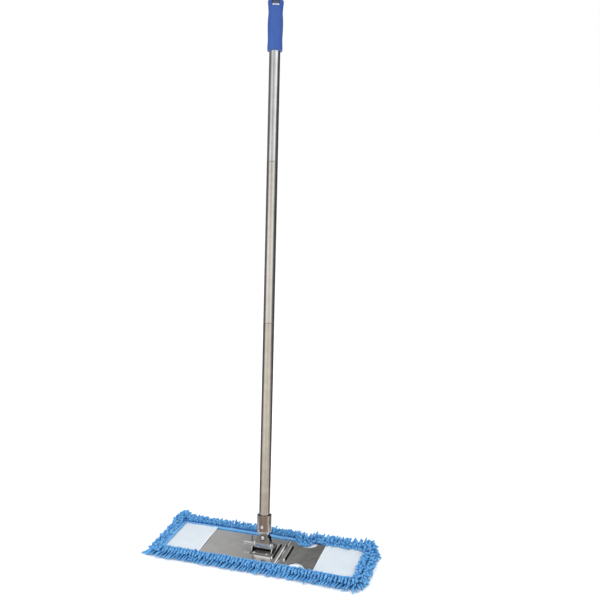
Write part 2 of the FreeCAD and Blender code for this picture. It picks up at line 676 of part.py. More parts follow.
# ---- grip ----
def grip():
    """The moulded hand grip: waisted outside, bored for the tube, closed and slotted at the top."""
    outline = [Vector(radius, 0, GRIP_BOTTOM + height) for radius, height in GRIP_OUTLINE]
    side = Part.BSplineCurve()
    side.interpolate(outline)
    low_rim = Vector(TUBE_RADIUS, 0, GRIP_BOTTOM)
    lip = Vector(GRIP_LIP_RADIUS, 0, GRIP_BOTTOM)
    lip_middle = Vector(GRIP_LIP_MIDDLE[0], 0, GRIP_BOTTOM + GRIP_LIP_MIDDLE[1])
    crown_edge = Vector(CROWN_EDGE_RADIUS, 0, outline[-1].z + CROWN_EDGE_RISE)
    crown_side = Vector(CROWN_RADIUS, 0, GRIP_TOP - CROWN_HEIGHT)
    crown = Vector(0, 0, GRIP_TOP)
    bore_centre = Vector(0, 0, TUBE_TOP)
    bore_side = Vector(TUBE_RADIUS, 0, TUBE_TOP)
    edges = [
        Part.LineSegment(low_rim, lip).toShape(),
        Part.Arc(lip, lip_middle, outline[0]).toShape(),
        side.toShape(),
        Part.LineSegment(outline[-1], crown_edge).toShape(),
        Part.LineSegment(crown_edge, crown_side).toShape(),
        cap_arc(CROWN_RADIUS, GRIP_TOP - CROWN_HEIGHT, GRIP_TOP),
        Part.LineSegment(crown, bore_centre).toShape(),
        Part.LineSegment(bore_centre, bore_side).toShape(),
        Part.LineSegment(bore_side, low_rim).toShape(),
    ]
    solid = Part.Face(Part.Wire(edges)).revolve(Vector(0, 0, 0), AXIS_Z, 360)
    slot = block(
        (-SLOT_HALF_WIDTH, SLOT_HALF_WIDTH),
        (-2.0 * TUBE_RADIUS, 2.0 * TUBE_RADIUS),
        (SLOT_CENTRE - SLOT_HALF_HEIGHT, SLOT_CENTRE + SLOT_HALF_HEIGHT),
    )
    long_edges = [e for e in slot.Edges if abs(e.tangentAt(e.FirstParameter).y) > 0.99]
    solid = solid.cut(slot.makeFillet(SLOT_CORNER_RADIUS, long_edges))
    solid.rotate(Vector(0, 0, 0), AXIS_Z, GRIP_TURN)
    return solid


# ---- assembly ----
def build_nodes():
    """Every piece in the rest pose, by node name."""
    nodes = {
        "left_plate": left_plate(),
        "right_plate": right_plate(),
        "fold_hinge_pin": fold_hinge_pin(),
        "pivot_bracket": pivot_bracket(),
        "bracket_rivets": bracket_rivets(),
        "pivot_pin": pivot_pin(),
        "pivot_pin_clip": pivot_pin_clip(),
    }
    for name, side, mouth in (("left", -1, POCKET_MOUTH_LEFT), ("right", 1, POCKET_MOUTH_RIGHT)):
        nodes["pad_backing_" + name] = pad_backing(side)
        nodes["fringe_front_" + name] = fringe_strip(side, -1)
        nodes["fringe_back_" + name] = fringe_strip(side, 1)
        nodes["fringe_end_" + name] = fringe_end(side)
        nodes["pocket_" + name] = pocket(side, mouth)
    fork_pieces = {
        "pivot_fork": pivot_fork(),
        "pivot_bushing": pivot_bushing(),
        "swing_bolt": swing_bolt(),
        "swing_bolt_nut": swing_bolt_nut(),
        "bolt_washers": bolt_washers(),
        "friction_washers": friction_washers(),
    }
    pole_pieces = {
        "pole_socket": pole_socket(),
        "socket_sleeve": socket_sleeve(),
        "socket_rivet": socket_rivet(),
        "lower_tube": lower_tube(),
        "middle_tube": middle_tube(),
        "upper_tube": upper_tube(),
        "lower_joint_plug": joint_plug(LOWER_JOINT_HEIGHT),
        "lower_joint_insert": joint_insert(LOWER_JOINT_HEIGHT),
        "upper_joint_plug": joint_plug(UPPER_JOINT_HEIGHT),
        "upper_joint_insert": joint_insert(UPPER_JOINT_HEIGHT),
        "grip": grip(),
    }
    for name, shape in fork_pieces.items():
        nodes[name] = leaned(shape)
    for name, shape in pole_pieces.items():
        nodes[name] = swung(shape)
    return nodes


def report_joint(name, local_point, axis, place):
    """Print a joint's centre and axis in metres, in the rest pose."""
    point = place(Part.Vertex(local_point)).Point
    tip = place(Part.Vertex(local_point + axis)).Point
    direction = tip.sub(point)
    print(name, [round(v / 1000.0, 6) for v in point], [round(v, 6) for v in direction])


def main():
    """Write one STEP file for each piece."""
    os.makedirs("parts", exist_ok=True)
    nodes = build_nodes()
    for name, shape in nodes.items():
        solids = shape.Solids
        valid = shape.isValid() and all(solid.isClosed() for solid in solids)
        print(name, len(solids), round(shape.Volume, 1), "ok" if valid else "NOT VALID")
        shape.exportStep(os.path.join("parts", name + ".step"))
    report_joint("pole_tilt", Vector(0, 0, 0), AXIS_X, leaned)
    report_joint("pole_swing", Vector(0, 0, BOLT_HEIGHT), AXIS_Y, leaned)
    report_joint("slot", Vector(0, 0, SLOT_CENTRE), AXIS_Z, swung)
    print("fold", [round(v / 1000.0, 6) for v in (HINGE_X, 0.0, HINGE_Z)])


main()
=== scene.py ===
import json
import math

import bpy
import numpy as np
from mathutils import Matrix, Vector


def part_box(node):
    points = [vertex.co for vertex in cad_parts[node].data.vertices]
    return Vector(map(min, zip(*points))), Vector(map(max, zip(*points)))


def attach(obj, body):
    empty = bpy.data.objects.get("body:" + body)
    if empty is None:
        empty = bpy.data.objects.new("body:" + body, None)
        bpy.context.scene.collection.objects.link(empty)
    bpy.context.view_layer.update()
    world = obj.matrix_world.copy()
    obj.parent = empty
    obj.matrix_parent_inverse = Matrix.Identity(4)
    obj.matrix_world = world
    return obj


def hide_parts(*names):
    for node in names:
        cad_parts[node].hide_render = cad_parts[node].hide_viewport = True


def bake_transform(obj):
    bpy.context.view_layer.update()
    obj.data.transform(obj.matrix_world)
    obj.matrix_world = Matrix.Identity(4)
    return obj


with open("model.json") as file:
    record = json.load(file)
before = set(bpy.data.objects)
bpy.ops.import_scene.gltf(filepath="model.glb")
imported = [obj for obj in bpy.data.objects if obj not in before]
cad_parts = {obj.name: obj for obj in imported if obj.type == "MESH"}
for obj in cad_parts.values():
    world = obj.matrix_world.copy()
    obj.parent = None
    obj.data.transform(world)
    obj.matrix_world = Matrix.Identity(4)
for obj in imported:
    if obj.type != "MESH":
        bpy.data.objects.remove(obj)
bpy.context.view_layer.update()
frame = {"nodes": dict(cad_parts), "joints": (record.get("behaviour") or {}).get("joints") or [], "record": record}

MM = 0.001
RANDOM_SEED = 31

# ---------------------------------------------------------------- places, from the CAD model
CORE_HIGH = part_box("pad_backing_right")[1]
STRIP_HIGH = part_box("fringe_back_right")[1]
PLATE_LEFT_END, PLATE_RIGHT_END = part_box("left_plate")[0].x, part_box("right_plate")[1].x
POCKET_LEFT, POCKET_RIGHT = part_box("pocket_left"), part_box("pocket_right")
JOINT_PLACES = {joint["name"]: joint["pos_m"] for joint in frame["joints"]}
OPENINGS = {opening["name"]: opening["box_m"] for opening in frame["record"]["physics"]["openings"]}

WELL_X, WELL_Y = CORE_HIGH.x, CORE_HIGH.y
RIM_X, RIM_Y = STRIP_HIGH.x, STRIP_HIGH.y
CLOTH_TOP = CORE_HIGH.z - 0.25 * MM
PLATE_TOP = POCKET_LEFT[0].z
FOLD_X, FOLD_Z = JOINT_PLACES["wing_fold"][0], JOINT_PLACES["wing_fold"][2]
PIVOT_Z = JOINT_PLACES["pole_tilt"][2]
NOTCH_X = sum(corner[0] for corner in OPENINGS["finger_notch_back"]) / 2

# the way along the pole from the pivot to the socket's lower edge
SOCKET_RISE = 30.0 * MM
# corner radii of the rounded rectangles that the rim runs between
WELL_CORNER, RIM_CORNER = 8.0 * MM, 13.0 * MM
CAMERA_PLACE = (0.565, -1.548, 0.957)
CAMERA_LENS = 48.0
CAMERA_YAW, CAMERA_PITCH = math.radians(17.18), math.radians(-12.51)
# turns the leaning pole upright
POLE_TURN = (math.radians(12.0), math.radians(2.33), 0.0)


# ---------------------------------------------------------------- small helpers
def smooth(value, low, high):
    """0 below low, 1 above high, and an even S between them."""
    t = np.clip((np.asarray(value, float) - low) / (high - low), 0.0, 1.0)
    return t * t * (3.0 - 2.0 * t)


def waves(x, y, seed, size, count=7):
    """A smooth random field of about -1..1 whose features are about size metres across."""
    rng = np.random.default_rng(seed)
    total = np.zeros(np.broadcast(x, y).shape)
    for _ in range(count):
        angle, phase = rng.uniform(0, 2 * math.pi, 2)
        k = 2 * math.pi / (size * rng.uniform(0.7, 1.6))
        total = total + np.sin(k * (x * math.cos(angle) + y * math.sin(angle)) + phase)
    return total / math.sqrt(2.0 * count)


def add_mesh(name, points, faces, materials, smooth_shading=True, floats=None):
    """A new object. floats holds named values, one for each point, that its material reads."""
    mesh = bpy.data.meshes.new(name)
    mesh.from_pydata(np.asarray(points).reshape(-1, 3).tolist(), [], faces)
    for one in materials:
        mesh.materials.append(one)
    mesh.polygons.foreach_set("use_smooth", [smooth_shading] * len(mesh.polygons))
    for key, values in (floats or {}).items():
        attribute = mesh.attributes.new(key, "FLOAT", "POINT")
        attribute.data.foreach_set("value", np.asarray(values, np.float32))
    mesh.update()
    made = bpy.data.objects.new(name, mesh)
    bpy.context.scene.collection.objects.link(made)
    return made


def tube_faces(rings, sides, closed, first=0):
    """Faces of a skin over rings of points. A closed one joins up, and an open one gets end caps."""
    faces = []
    for i in range(rings if closed else rings - 1):
        a, b = first + i * sides, first + ((i + 1) % rings) * sides
        for j in range(sides):
            k = (j + 1) % sides
            faces.append((a + j, a + k, b + k, b + j))
    if not closed:
        last = first + (rings - 1) * sides
        faces.append(tuple(range(first + sides - 1, first - 1, -1)))
        faces.append(tuple(range(last, last + sides)))
    return faces


def slab(name, x, y, top, bottom, materials, **more):
    """A closed sheet over the grid x by y, between two height fields."""
    columns, rows = x.shape
    upper = np.stack([x, y, top], -1).reshape(-1, 3)
    lower = np.stack([x, y, bottom], -1).reshape(-1, 3)
    count = columns * rows
    index = np.arange(count).reshape(columns, rows)
    a, b, c, d = index[:-1, :-1], index[1:, :-1], index[1:, 1:], index[:-1, 1:]
    quads = np.stack([a, b, c, d], -1).reshape(-1, 4)
    faces = quads.tolist() + (quads[:, ::-1] + count).tolist()
    edge = np.concatenate([index[:, 0], index[-1, 1:], index[-2::-1, -1], index[0, -2:0:-1]])
    for i, j in zip(edge, np.roll(edge, -1)):
        faces.append((int(i), int(i) + count, int(j) + count, int(j)))
    return add_mesh(name, np.concatenate([upper, lower]), faces, materials, **more)


def rounded_ring(half_x, half_y, corner, steps):
    """Even points and outward normals round a rounded rectangle, from the middle of its front edge."""
    straight_x, straight_y = 2 * (half_x - corner), 2 * (half_y - corner)
    arc = 0.5 * math.pi * corner
    lengths = [straight_x / 2, arc, straight_y, arc, straight_x, arc, straight_y, arc, straight_x / 2]
    total = sum(lengths)
    points, normals = [], []
    for step in range(steps):
        s = total * step / steps
        run = 0
        while s > lengths[run]:
            s -= lengths[run]
            run += 1
        cx, cy = half_x - corner, half_y - corner
        if run == 0:
            p, n = (s, -half_y), (0, -1)
        elif run == 8:
            p, n = (-cx + s, -half_y), (0, -1)
        elif run == 2:
            p, n = (half_x, -cy + s), (1, 0)
        elif run == 4:
            p, n = (cx - s, half_y), (0, 1)
        elif run == 6:
            p, n = (-half_x, cy - s), (-1, 0)
        else:
            centre = {1: (cx, -cy), 3: (cx, cy), 5: (-cx, cy), 7: (-cx, -cy)}[run]
            angle = math.radians({1: -90, 3: 0, 5: 90, 7: 180}[run]) + s / corner
            n = (math.cos(angle), math.sin(angle))
            p = (centre[0] + corner * n[0], centre[1] + corner * n[1])
        points.append(p)
        normals.append(n)
    return np.array(points, float), np.array(normals, float)


def rim_ring(share, steps):
    """The ring at a share of the way from the well's edge, 0, to the pad's outer edge, 1."""
    return rounded_ring(
        WELL_X + share * (RIM_X - WELL_X),
        WELL_Y + share * (RIM_Y - WELL_Y),
        WELL_CORNER + share * (RIM_CORNER - WELL_CORNER),
        steps,
    )


# ---------------------------------------------------------------- materials
def new_material(name, color, roughness, metallic=0.0, **sockets):
    made = bpy.data.materials.new(name)
    made.use_nodes = True
    shader = made.node_tree.nodes["Principled BSDF"]
    shader.inputs["Base Color"].default_value = (*color, 1.0)
    shader.inputs["Roughness"].default_value = roughness
    shader.inputs["Metallic"].default_value = metallic
    for key, value in sockets.items():
        shader.inputs[key.replace("_", " ")].default_value = value
    return made, made.node_tree, shader


def node(tree, kind, **inputs):
    made = tree.nodes.new(kind)
    for key, value in inputs.items():
        made.inputs[key].default_value = value
    return made


def object_noise(tree, scale, stretch=(1, 1, 1), turn=(0, 0, 0), detail=3.0, rough=0.5):
    """Noise in the object's own metres. A small stretch in one direction draws it out along that axis."""
    place = node(tree, "ShaderNodeTexCoord")
    mapping = node(tree, "ShaderNodeMapping", Scale=stretch, Rotation=turn)
    made = node(tree, "ShaderNodeTexNoise", Scale=scale, Detail=detail, Roughness=rough)
    tree.links.new(place.outputs["Object"], mapping.inputs["Vector"])
    tree.links.new(mapping.outputs["Vector"], made.inputs["Vector"])
    return made.outputs["Fac"]


def mapped(tree, value, low, high, to_low, to_high):
    made = node(tree, "ShaderNodeMapRange")
    made.inputs["From Min"].default_value = low
    made.inputs["From Max"].default_value = high
    made.inputs["To Min"].default_value = to_low
    made.inputs["To Max"].default_value = to_high
    tree.links.new(value, made.inputs["Value"])
    return made.outputs["Result"]


def ramp(tree, value, stops):
    made = node(tree, "ShaderNodeValToRGB")
    elements = made.color_ramp.elements
    while len(elements) < len(stops):
        elements.new(0.5)
    for element, (place, color) in zip(elements, stops):
        element.position = place
        element.color = (*color, 1.0)
    tree.links.new(value, made.inputs["Fac"])
    return made.outputs["Color"]


def math_node(tree, operation, a, b):
    made = node(tree, "ShaderNodeMath")
    made.operation = operation
    for socket, value in zip(made.inputs, (a, b)):
        if isinstance(value, (int, float)):
            socket.default_value = value
        else:
            tree.links.new(value, socket)
    return made.outputs[0]


def multiply_color(tree, a, b):
    made = node(tree, "ShaderNodeMixRGB", Fac=1.0)
    made.blend_type = "MULTIPLY"
    tree.links.new(a, made.inputs[1])
    tree.links.new(b, made.inputs[2])
    return made.outputs[0]


def bump(tree, shader, height, strength, distance):
    made = node(tree, "ShaderNodeBump", Strength=strength, Distance=distance)
    tree.links.new(height, made.inputs["Height"])
    tree.links.new(made.outputs["Normal"], shader.inputs["Normal"])


def coordinates(tree, kind, turn=(0, 0, 0)):
    """X, Y and Z of the object's own places or normals, after a turn."""
    place = node(tree, "ShaderNodeTexCoord")
    turned = node(tree, "ShaderNodeMapping", Rotation=turn)
    parts = node(tree, "ShaderNodeSeparateXYZ")
    tree.links.new(place.outputs[kind], turned.inputs["Vector"])
    tree.links.new(turned.outputs["Vector"], parts.inputs[0])
    return parts.outputs


def shader_and_base(made):
    """A finished material's shader, and the output that drives its base colour."""
    shader = made.node_tree.nodes["Principled BSDF"]
    return shader, shader.inputs["Base Color"].links[0].from_socket


GRAIN_SCALE = 900.0


def steel(name, color, roughness, grain=(1, 1, 1), turn=(0, 0, 0), wear=0.12, spread=0.07):
    """Metal with drawn or brushed grain, faint cloudy smudges and uneven gloss."""
    made, tree, shader = new_material(name, color, roughness, 1.0)
    clouds = object_noise(tree, 38.0, detail=4.0, rough=0.6)
    low = tuple(c * (1.0 - wear) for c in color)
    high = tuple(min(1.0, c * (1.0 + 0.6 * wear)) for c in color)
    tree.links.new(ramp(tree, clouds, [(0.32, low), (0.68, high)]), shader.inputs["Base Color"])
    lines = object_noise(tree, GRAIN_SCALE, stretch=grain, turn=turn, detail=2.0)
    gloss = math_node(tree, "ADD", mapped(tree, lines, 0.3, 0.7, -spread / 2, spread / 2),
                      mapped(tree, clouds, 0.3, 0.7, roughness - spread / 2, roughness + spread / 2))
    tree.links.new(gloss, shader.inputs["Roughness"])
    bump(tree, shader, lines, 0.12, 0.00004)
    return made


def painted_reflection_by_facing(made, stops, edge_highlight_color):
    """Painted reflections on a pole socket: fixed bands by which way its wall faces, and a painted highlight on
    its lower edge.
    """
    tree = made.node_tree
    shader, base = shader_and_base(made)
    # painted reflection bands, by which way the wall faces
    facing = coordinates(tree, "Normal", (0, 0, -CAMERA_YAW))["X"]
    tint = ramp(tree, mapped(tree, facing, -1.0, 1.0, 0.0, 1.0), stops)
    # a painted highlight along the socket's lower edge
    height = coordinates(tree, "Object", POLE_TURN)["Z"]
    lowest = PIVOT_Z * math.cos(POLE_TURN[0]) + SOCKET_RISE
    edge = node(tree, "ShaderNodeMixRGB", Color2=(*edge_highlight_color, 1.0))
    tree.links.new(mapped(tree, height, lowest + 3.4 * MM, lowest + 2.6 * MM, 0.0, 1.0), edge.inputs[0])
    tree.links.new(multiply_color(tree, base, tint), edge.inputs[1])
    tree.links.new(edge.outputs[0], shader.inputs["Base Color"])
    return made


def plate_painted_reflections(made):
    """A painted dark reflection on the flanks of the ribs that face the folding end, and a painted highlight along
    the front half of the hinge, where the plate mirrors less and its pale colour shows.
    """
    tree = made.node_tree
    shader, base = shader_and_base(made)
    facing, where = coordinates(tree, "Normal"), coordinates(tree, "Object")
    # painted dark reflection on the flanks that face the folding end, kept off the hinge
    tint = ramp(tree, facing["X"], [(0.12, (1, 1, 1)), (0.40, (0.05, 0.05, 0.055))])
    off_hinge = math_node(tree, "ABSOLUTE", math_node(tree, "SUBTRACT", where["X"], FOLD_X), 0.0)
    painted_flank_dark = node(tree, "ShaderNodeMixRGB", Color1=(1, 1, 1, 1))
    tree.links.new(mapped(tree, off_hinge, 6 * MM, 8 * MM, 0.0, 1.0), painted_flank_dark.inputs[0])
    tree.links.new(tint, painted_flank_dark.inputs[2])
    tree.links.new(multiply_color(tree, base, painted_flank_dark.outputs[0]), shader.inputs["Base Color"])
    # painted highlight: the front half of the hinge mirrors less, so its pale colour shows as a bright line
    hinge_highlight_metallic = math_node(tree, "MAXIMUM", mapped(tree, off_hinge, 1.0 * MM, 1.7 * MM, 0.2, 1.0),
                       mapped(tree, where["Y"], 2 * MM, 22 * MM, 0.2, 1.0))
    tree.links.new(hinge_highlight_metallic, shader.inputs["Metallic"])
    return made


def painted_light_below(made, height, gain):
    """Steel with painted light below a height, easing off over 4 mm: painted shade where gain is under 1, and a
    painted highlight where it is over 1.
    """
    tree = made.node_tree
    shader, base = shader_and_base(made)
    share = mapped(tree, coordinates(tree, "Object")["Z"], height, height + 4 * MM, 0.0, 1.0)
    tone = ramp(tree, share, [(0.0, (gain, gain, gain)), (1.0, (1, 1, 1))])
    tree.links.new(multiply_color(tree, base, tone), shader.inputs["Base Color"])
    return made


def cloth(name, color, thread, shade=0.16, sheen=0.25, tint=(0.75, 0.85, 1.0)):
    """Plain-woven cloth: crossing threads as bump, and a soft unevenness in colour."""
    made, tree, shader = new_material(name, color, 0.85, Sheen_Weight=sheen, Sheen_Roughness=0.5)
    place = node(tree, "ShaderNodeTexCoord")
    heights = []
    for axis in "XY":
        wave = node(tree, "ShaderNodeTexWave", Scale=0.5 / thread, Distortion=0.6)
        wave.bands_direction = axis
        wave.inputs["Detail Scale"].default_value = 2.0
        tree.links.new(place.outputs["Object"], wave.inputs["Vector"])
        heights.append(wave.outputs["Fac"])
    weave = math_node(tree, "MAXIMUM", *heights)
    soft = object_noise(tree, 26.0, detail=4.0)
    dark = tuple(c * (1.0 - shade) * t for c, t in zip(color, tint))
    tone = ramp(tree, soft, [(0.25, dark), (0.6, color)])
    thread_tone = ramp(tree, weave, [(0.2, (0.86, 0.88, 0.90)), (0.8, (1, 1, 1))])
    tree.links.new(multiply_color(tree, tone, thread_tone), shader.inputs["Base Color"])
    bump(tree, shader, weave, 0.35, 0.00025)
    return made


def yarn(name, stops, fuzz=0.35):
    """Twisted microfibre: painted shade that deepens towards the root and into the grooves between the plies,
    lighter at the tip, a tone for each tuft, and a fuzzy sheen.
    """
    made, tree, shader = new_material(name, stops[1][1], 0.9, Sheen_Weight=fuzz, Sheen_Roughness=0.4)
    shader.inputs["Sheen Tint"].default_value = (0.45, 0.78, 1.0, 1.0)
    shades = {
        # painted shade, darkest at the root
        "along": stops,
        "tone": [(0.0, (0.64, 0.78, 0.90)), (0.55, (1, 1, 1)), (1.0, (1.28, 1.17, 1.06))],
        # painted shade in the grooves between the plies
        "ply": [(0.0, (0.42, 0.58, 0.80)), (0.55, (1, 1, 1)), (1.0, (1.10, 1.06, 1.03))],
    }
    fibres = object_noise(tree, 1500.0, detail=4.0, rough=0.7)
    color = ramp(tree, fibres, [(0.3, (0.78, 0.84, 0.9)), (0.7, (1.12, 1.08, 1.04))])
    for key, key_stops in shades.items():
        attribute = node(tree, "ShaderNodeAttribute")
        attribute.attribute_name = key
        color = multiply_color(tree, color, ramp(tree, attribute.outputs["Fac"], key_stops))
    tree.links.new(color, shader.inputs["Base Color"])
    bump(tree, shader, fibres, 0.8, 0.0006)
    return made


def plastic(name, color, roughness, grain_scale, strength, **sockets):
    """Moulded plastic: a fine orange-peel surface and slight colour drift."""
    made, tree, shader = new_material(name, color, roughness, **sockets)
    peel = object_noise(tree, grain_scale, detail=3.0)
    drift = object_noise(tree, 30.0, detail=3.0)
    low, high = tuple(c * 0.9 for c in color), tuple(min(1, c * 1.06) for c in color)
    tree.links.new(ramp(tree, drift, [(0.3, low), (0.7, high)]), shader.inputs["Base Color"])
    gloss = mapped(tree, peel, 0.3, 0.7, roughness - 0.06, roughness + 0.06)
    tree.links.new(gloss, shader.inputs["Roughness"])
    bump(tree, shader, peel, strength, 0.0001)
    return made


def pole_steel(name, color, roughness, wear=0.12):
    """Steel with its grain drawn along the pole."""
    return steel(name, color, roughness, (1.0, 1.0, 0.02), POLE_TURN, wear=wear)


def sheet_steel(name, color, roughness, wear=0.12, spread=0.07):
    """Steel with its grain rolled along the plate."""
    return steel(name, color, roughness, (0.02, 1.0, 1.0), wear=wear, spread=spread)


def hard_plastic(name, color, roughness=0.5):
    return plastic(name, color, roughness, GRAIN_SCALE, 0.2)


# places across the socket's wall, 0 at its left edge and 1 at its right, and the painted reflection there, as a
# factor on its colour
SOCKET_PAINTED_REFLECTION = [
    (0.03, (0.8, 0.8, 0.8)), (0.10, (2.2, 2.4, 2.6)), (0.17, (1.6, 1.7, 1.8)),
    (0.24, (0.7, 0.7, 0.72)), (0.40, (1.0, 1.0, 1.0)), (0.66, (1.0, 1.0, 1.0)),
    (0.74, (1.4, 1.5, 1.6)), (0.84, (2.2, 2.4, 2.6)), (0.92, (1.8, 1.9, 2.0)), (0.97, (1.0, 1.0, 1.0)),
]
# the socket steel's brown is a painted reflection of brown surroundings
SOCKET_STEEL = pole_steel("socket_polished", (0.385, 0.295, 0.245), 0.16, wear=0.2)
FORK_STEEL = sheet_steel("fork_polished", (0.38, 0.375, 0.375), 0.15)
BRACKET_STEEL = sheet_steel("bracket_polished", (0.48, 0.47, 0.46), 0.18)
LEFT_PLATE_STEEL = sheet_steel("plate_left", (0.86, 0.85, 0.84), 0.14, wear=0.06, spread=0.03)
RIGHT_PLATE_STEEL = sheet_steel("plate_right", (0.84, 0.835, 0.80), 0.14, wear=0.16, spread=0.03)
NODE_MATERIALS = {
    "lower_tube": pole_steel("tube_lower", (0.70, 0.66, 0.60), 0.16),
    "middle_tube": pole_steel("tube_middle", (0.80, 0.775, 0.73), 0.15),
    "upper_tube": pole_steel("tube_upper", (0.86, 0.87, 0.89), 0.11),
    # painted reflection bands, and a painted highlight along the socket's lower edge
    "pole_socket": painted_reflection_by_facing(SOCKET_STEEL, SOCKET_PAINTED_REFLECTION, (0.96, 0.96, 0.96)),
    "socket_rivet": steel("rivet_bright", (0.86, 0.86, 0.86), 0.20),
    "bracket_rivets": steel("rivet_plain", (0.78, 0.78, 0.78), 0.24),
    # painted shade on the bracket's foot
    "pivot_bracket": painted_light_below(BRACKET_STEEL, PLATE_TOP + 1 * MM, 0.55),
    # a painted highlight on the fork's barrel and below it
    "pivot_fork": painted_light_below(FORK_STEEL, PIVOT_Z + 5 * MM, 1.9),
    "pivot_pin": steel("pin_polished", (0.50, 0.50, 0.50), 0.18),
    "pivot_pin_clip": steel("clip_spring", (0.34, 0.34, 0.34), 0.24),
    "fold_hinge_pin": steel("hinge_pin", (0.84, 0.84, 0.84), 0.18),
    "swing_bolt": steel("bolt_bright", (0.88, 0.88, 0.88), 0.14),
    "swing_bolt_nut": steel("nut_plated", (0.70, 0.69, 0.66), 0.24),
    "bolt_washers": steel("washer_dark", (0.20, 0.20, 0.21), 0.35),
    # painted dark reflections on the rib flanks, and a painted highlight on the hinge
    "left_plate": plate_painted_reflections(LEFT_PLATE_STEEL),
    "right_plate": plate_painted_reflections(RIGHT_PLATE_STEEL),
    "socket_sleeve": hard_plastic("sleeve_black", (0.02, 0.02, 0.022)),
    "friction_washers": hard_plastic("washer_grey", (0.18, 0.18, 0.19)),
    "pivot_bushing": hard_plastic("bushing_black", (0.03, 0.03, 0.03), 0.45),
    "lower_joint_plug": hard_plastic("plug_black", (0.025, 0.025, 0.028)),
    "lower_joint_insert": hard_plastic("insert_grey", (0.12, 0.12, 0.13)),
    "upper_joint_plug": hard_plastic("plug_black_upper", (0.025, 0.025, 0.028)),
    "upper_joint_insert": hard_plastic("insert_grey_upper", (0.12, 0.12, 0.13)),
    "grip": plastic("grip_blue", (0.034, 0.090, 0.32), 0.45, 1400.0, 0.3, Specular_IOR_Level=0.35),
}
# the yarn's colours from root to tip, here and for the pile below; the dark root end is painted shade
YARN = yarn("yarn_blue", [
    (0.0, (0.005, 0.05, 0.20)), (0.22, (0.022, 0.14, 0.41)),
    (0.55, (0.082, 0.30, 0.60)), (1.0, (0.155, 0.42, 0.72)),
])
PILE = yarn("pile_blue", [(0.0, (0.02, 0.11, 0.34)), (0.5, (0.07, 0.25, 0.58)), (1.0, (0.12, 0.34, 0.68))])
RIM_CLOTH = cloth("rim_cloth_blue", (0.010, 0.075, 0.25), 0.0012, sheen=0.1)
BINDING_CLOTH = cloth("binding_blue", (0.135, 0.38, 0.69), 0.0009)
WHITE_CLOTH = cloth("pocket_white", (0.615, 0.66, 0.69), 0.0008, 0.06, 0.1, (0.97, 0.99, 1.0))
# a lighter copy of the pocket cloth: a painted highlight on the folded edge of each hem
HEM_HIGHLIGHT_CLOTH = cloth("hem_painted_highlight", (0.84, 0.86, 0.88), 0.0008, 0.03, 0.1, (1, 1, 1))
WELL_CLOTH = cloth("well_white", (0.76, 0.78, 0.81), 0.0008, 0.05, 0.1, (1, 1, 1))
CORE_CLOTH = cloth("core_blue", (0.03, 0.15, 0.42), 0.0014)
THREAD = cloth("thread_white", (0.9, 0.92, 0.94), 0.0004, 0.03)

for key, material in NODE_MATERIALS.items():
    for slot in frame["nodes"][key].material_slots:
        slot.material = material


# ---------------------------------------------------------------- yarn tufts
# the length in which the yarn's two plies change places, and how deep the groove between them is
YARN_TURN, YARN_LOBES = 3.8 * MM, 0.28


def tufts(base, direction, bend, length, radius, rng, rings, sides):
    """Short twisted two-ply yarn ends: points, faces, and each point's along, tone and ply values."""
    count = len(base)
    places, sizes = [0.0, 0.12, 0.5, 0.80, 0.90, 0.96, 1.0], [0.80, 0.98, 1.06, 1.04, 0.92, 0.68, 0.30]
    profile = np.interp(rings, places, sizes)
    t = rings[None, :, None]
    centre = base[:, None] + length[:, None, None] * (t * direction[:, None] + t * t * bend[:, None])
    tangent = direction[:, None] + 2 * t * bend[:, None]
    tangent = tangent / np.linalg.norm(tangent, axis=2, keepdims=True)
    reference = np.where(np.abs(direction[:, 2:3]) > 0.8, [[1.0, 0.2, 0.0]], [[0.1, 0.0, 1.0]])
    side = np.cross(tangent, reference[:, None])
    side = side / np.linalg.norm(side, axis=2, keepdims=True)
    up = np.cross(tangent, side)
    angle = np.arange(sides) * 2 * math.pi / sides
    twist = rng.uniform(0, math.pi, count)[:, None] + rings[None] * length[:, None] / YARN_TURN * math.pi
    ply = np.abs(np.cos(angle[None, None] - twist[:, :, None]))
    lobe = 1.0 - YARN_LOBES + YARN_LOBES * 1.6 * ply
    size = radius[:, None, None] * profile[None, :, None] * lobe
    points = centre[:, :, None] + side[:, :, None] * (size * np.cos(angle))[..., None]
    points = points + up[:, :, None] * (size * np.sin(angle))[..., None]
    along = np.broadcast_to(rings[None, :, None], size.shape)
    tones = np.clip(rng.normal(0.5, 0.2, count), 0, 1)
    tone = np.broadcast_to(tones[:, None, None], size.shape)
    one = tube_faces(len(rings), sides, False)
    per = len(rings) * sides
    faces = [tuple(v + per * i for v in face) for i in range(count) for face in one]
    # along and ply drive painted shade in the yarn's material
    shades = {"along": along.reshape(-1), "tone": tone.reshape(-1), "ply": ply.reshape(-1)}
    return points.reshape(-1, 3), faces, shades


# Rows of tufts, from the top of the rim to the floor. Each row has:
# the root's place, as a share of the rim's width from its inner edge, and its height;
# the angle above level in degrees, the length, and the lean along the edge;
# how far the tip bends outwards and upwards, as shares of the length; the spacing; and the yarn's radius.
# Heights, lengths, spacings and radii are in mm.
FRONT_ROWS = [
    (0.02, 14.0, 84, 11.5, -0.03, 0.20, -0.42, 5.4, 2.2),
    (0.08, 15.0, 62, 15.0, -0.05, 0.28, -0.70, 7.4, 2.4),
    (0.15, 14.5, 46, 14.0, -0.08, 0.20, -0.74, 7.4, 2.3),
    (0.21, 13.5, 30, 11.5, -0.18, 0.10, -0.80, 7.4, 2.0),
    (0.27, 12.0, -4, 24.5, -0.56, 0.00, -0.24, 7.4, 1.7),
    (0.40, 6.8, -8, 17.0, -0.54, 0.00, -0.16, 7.4, 1.55),
    (0.47, 3.6, -4, 12.5, -0.52, 0.00, -0.08, 7.4, 1.5),
]
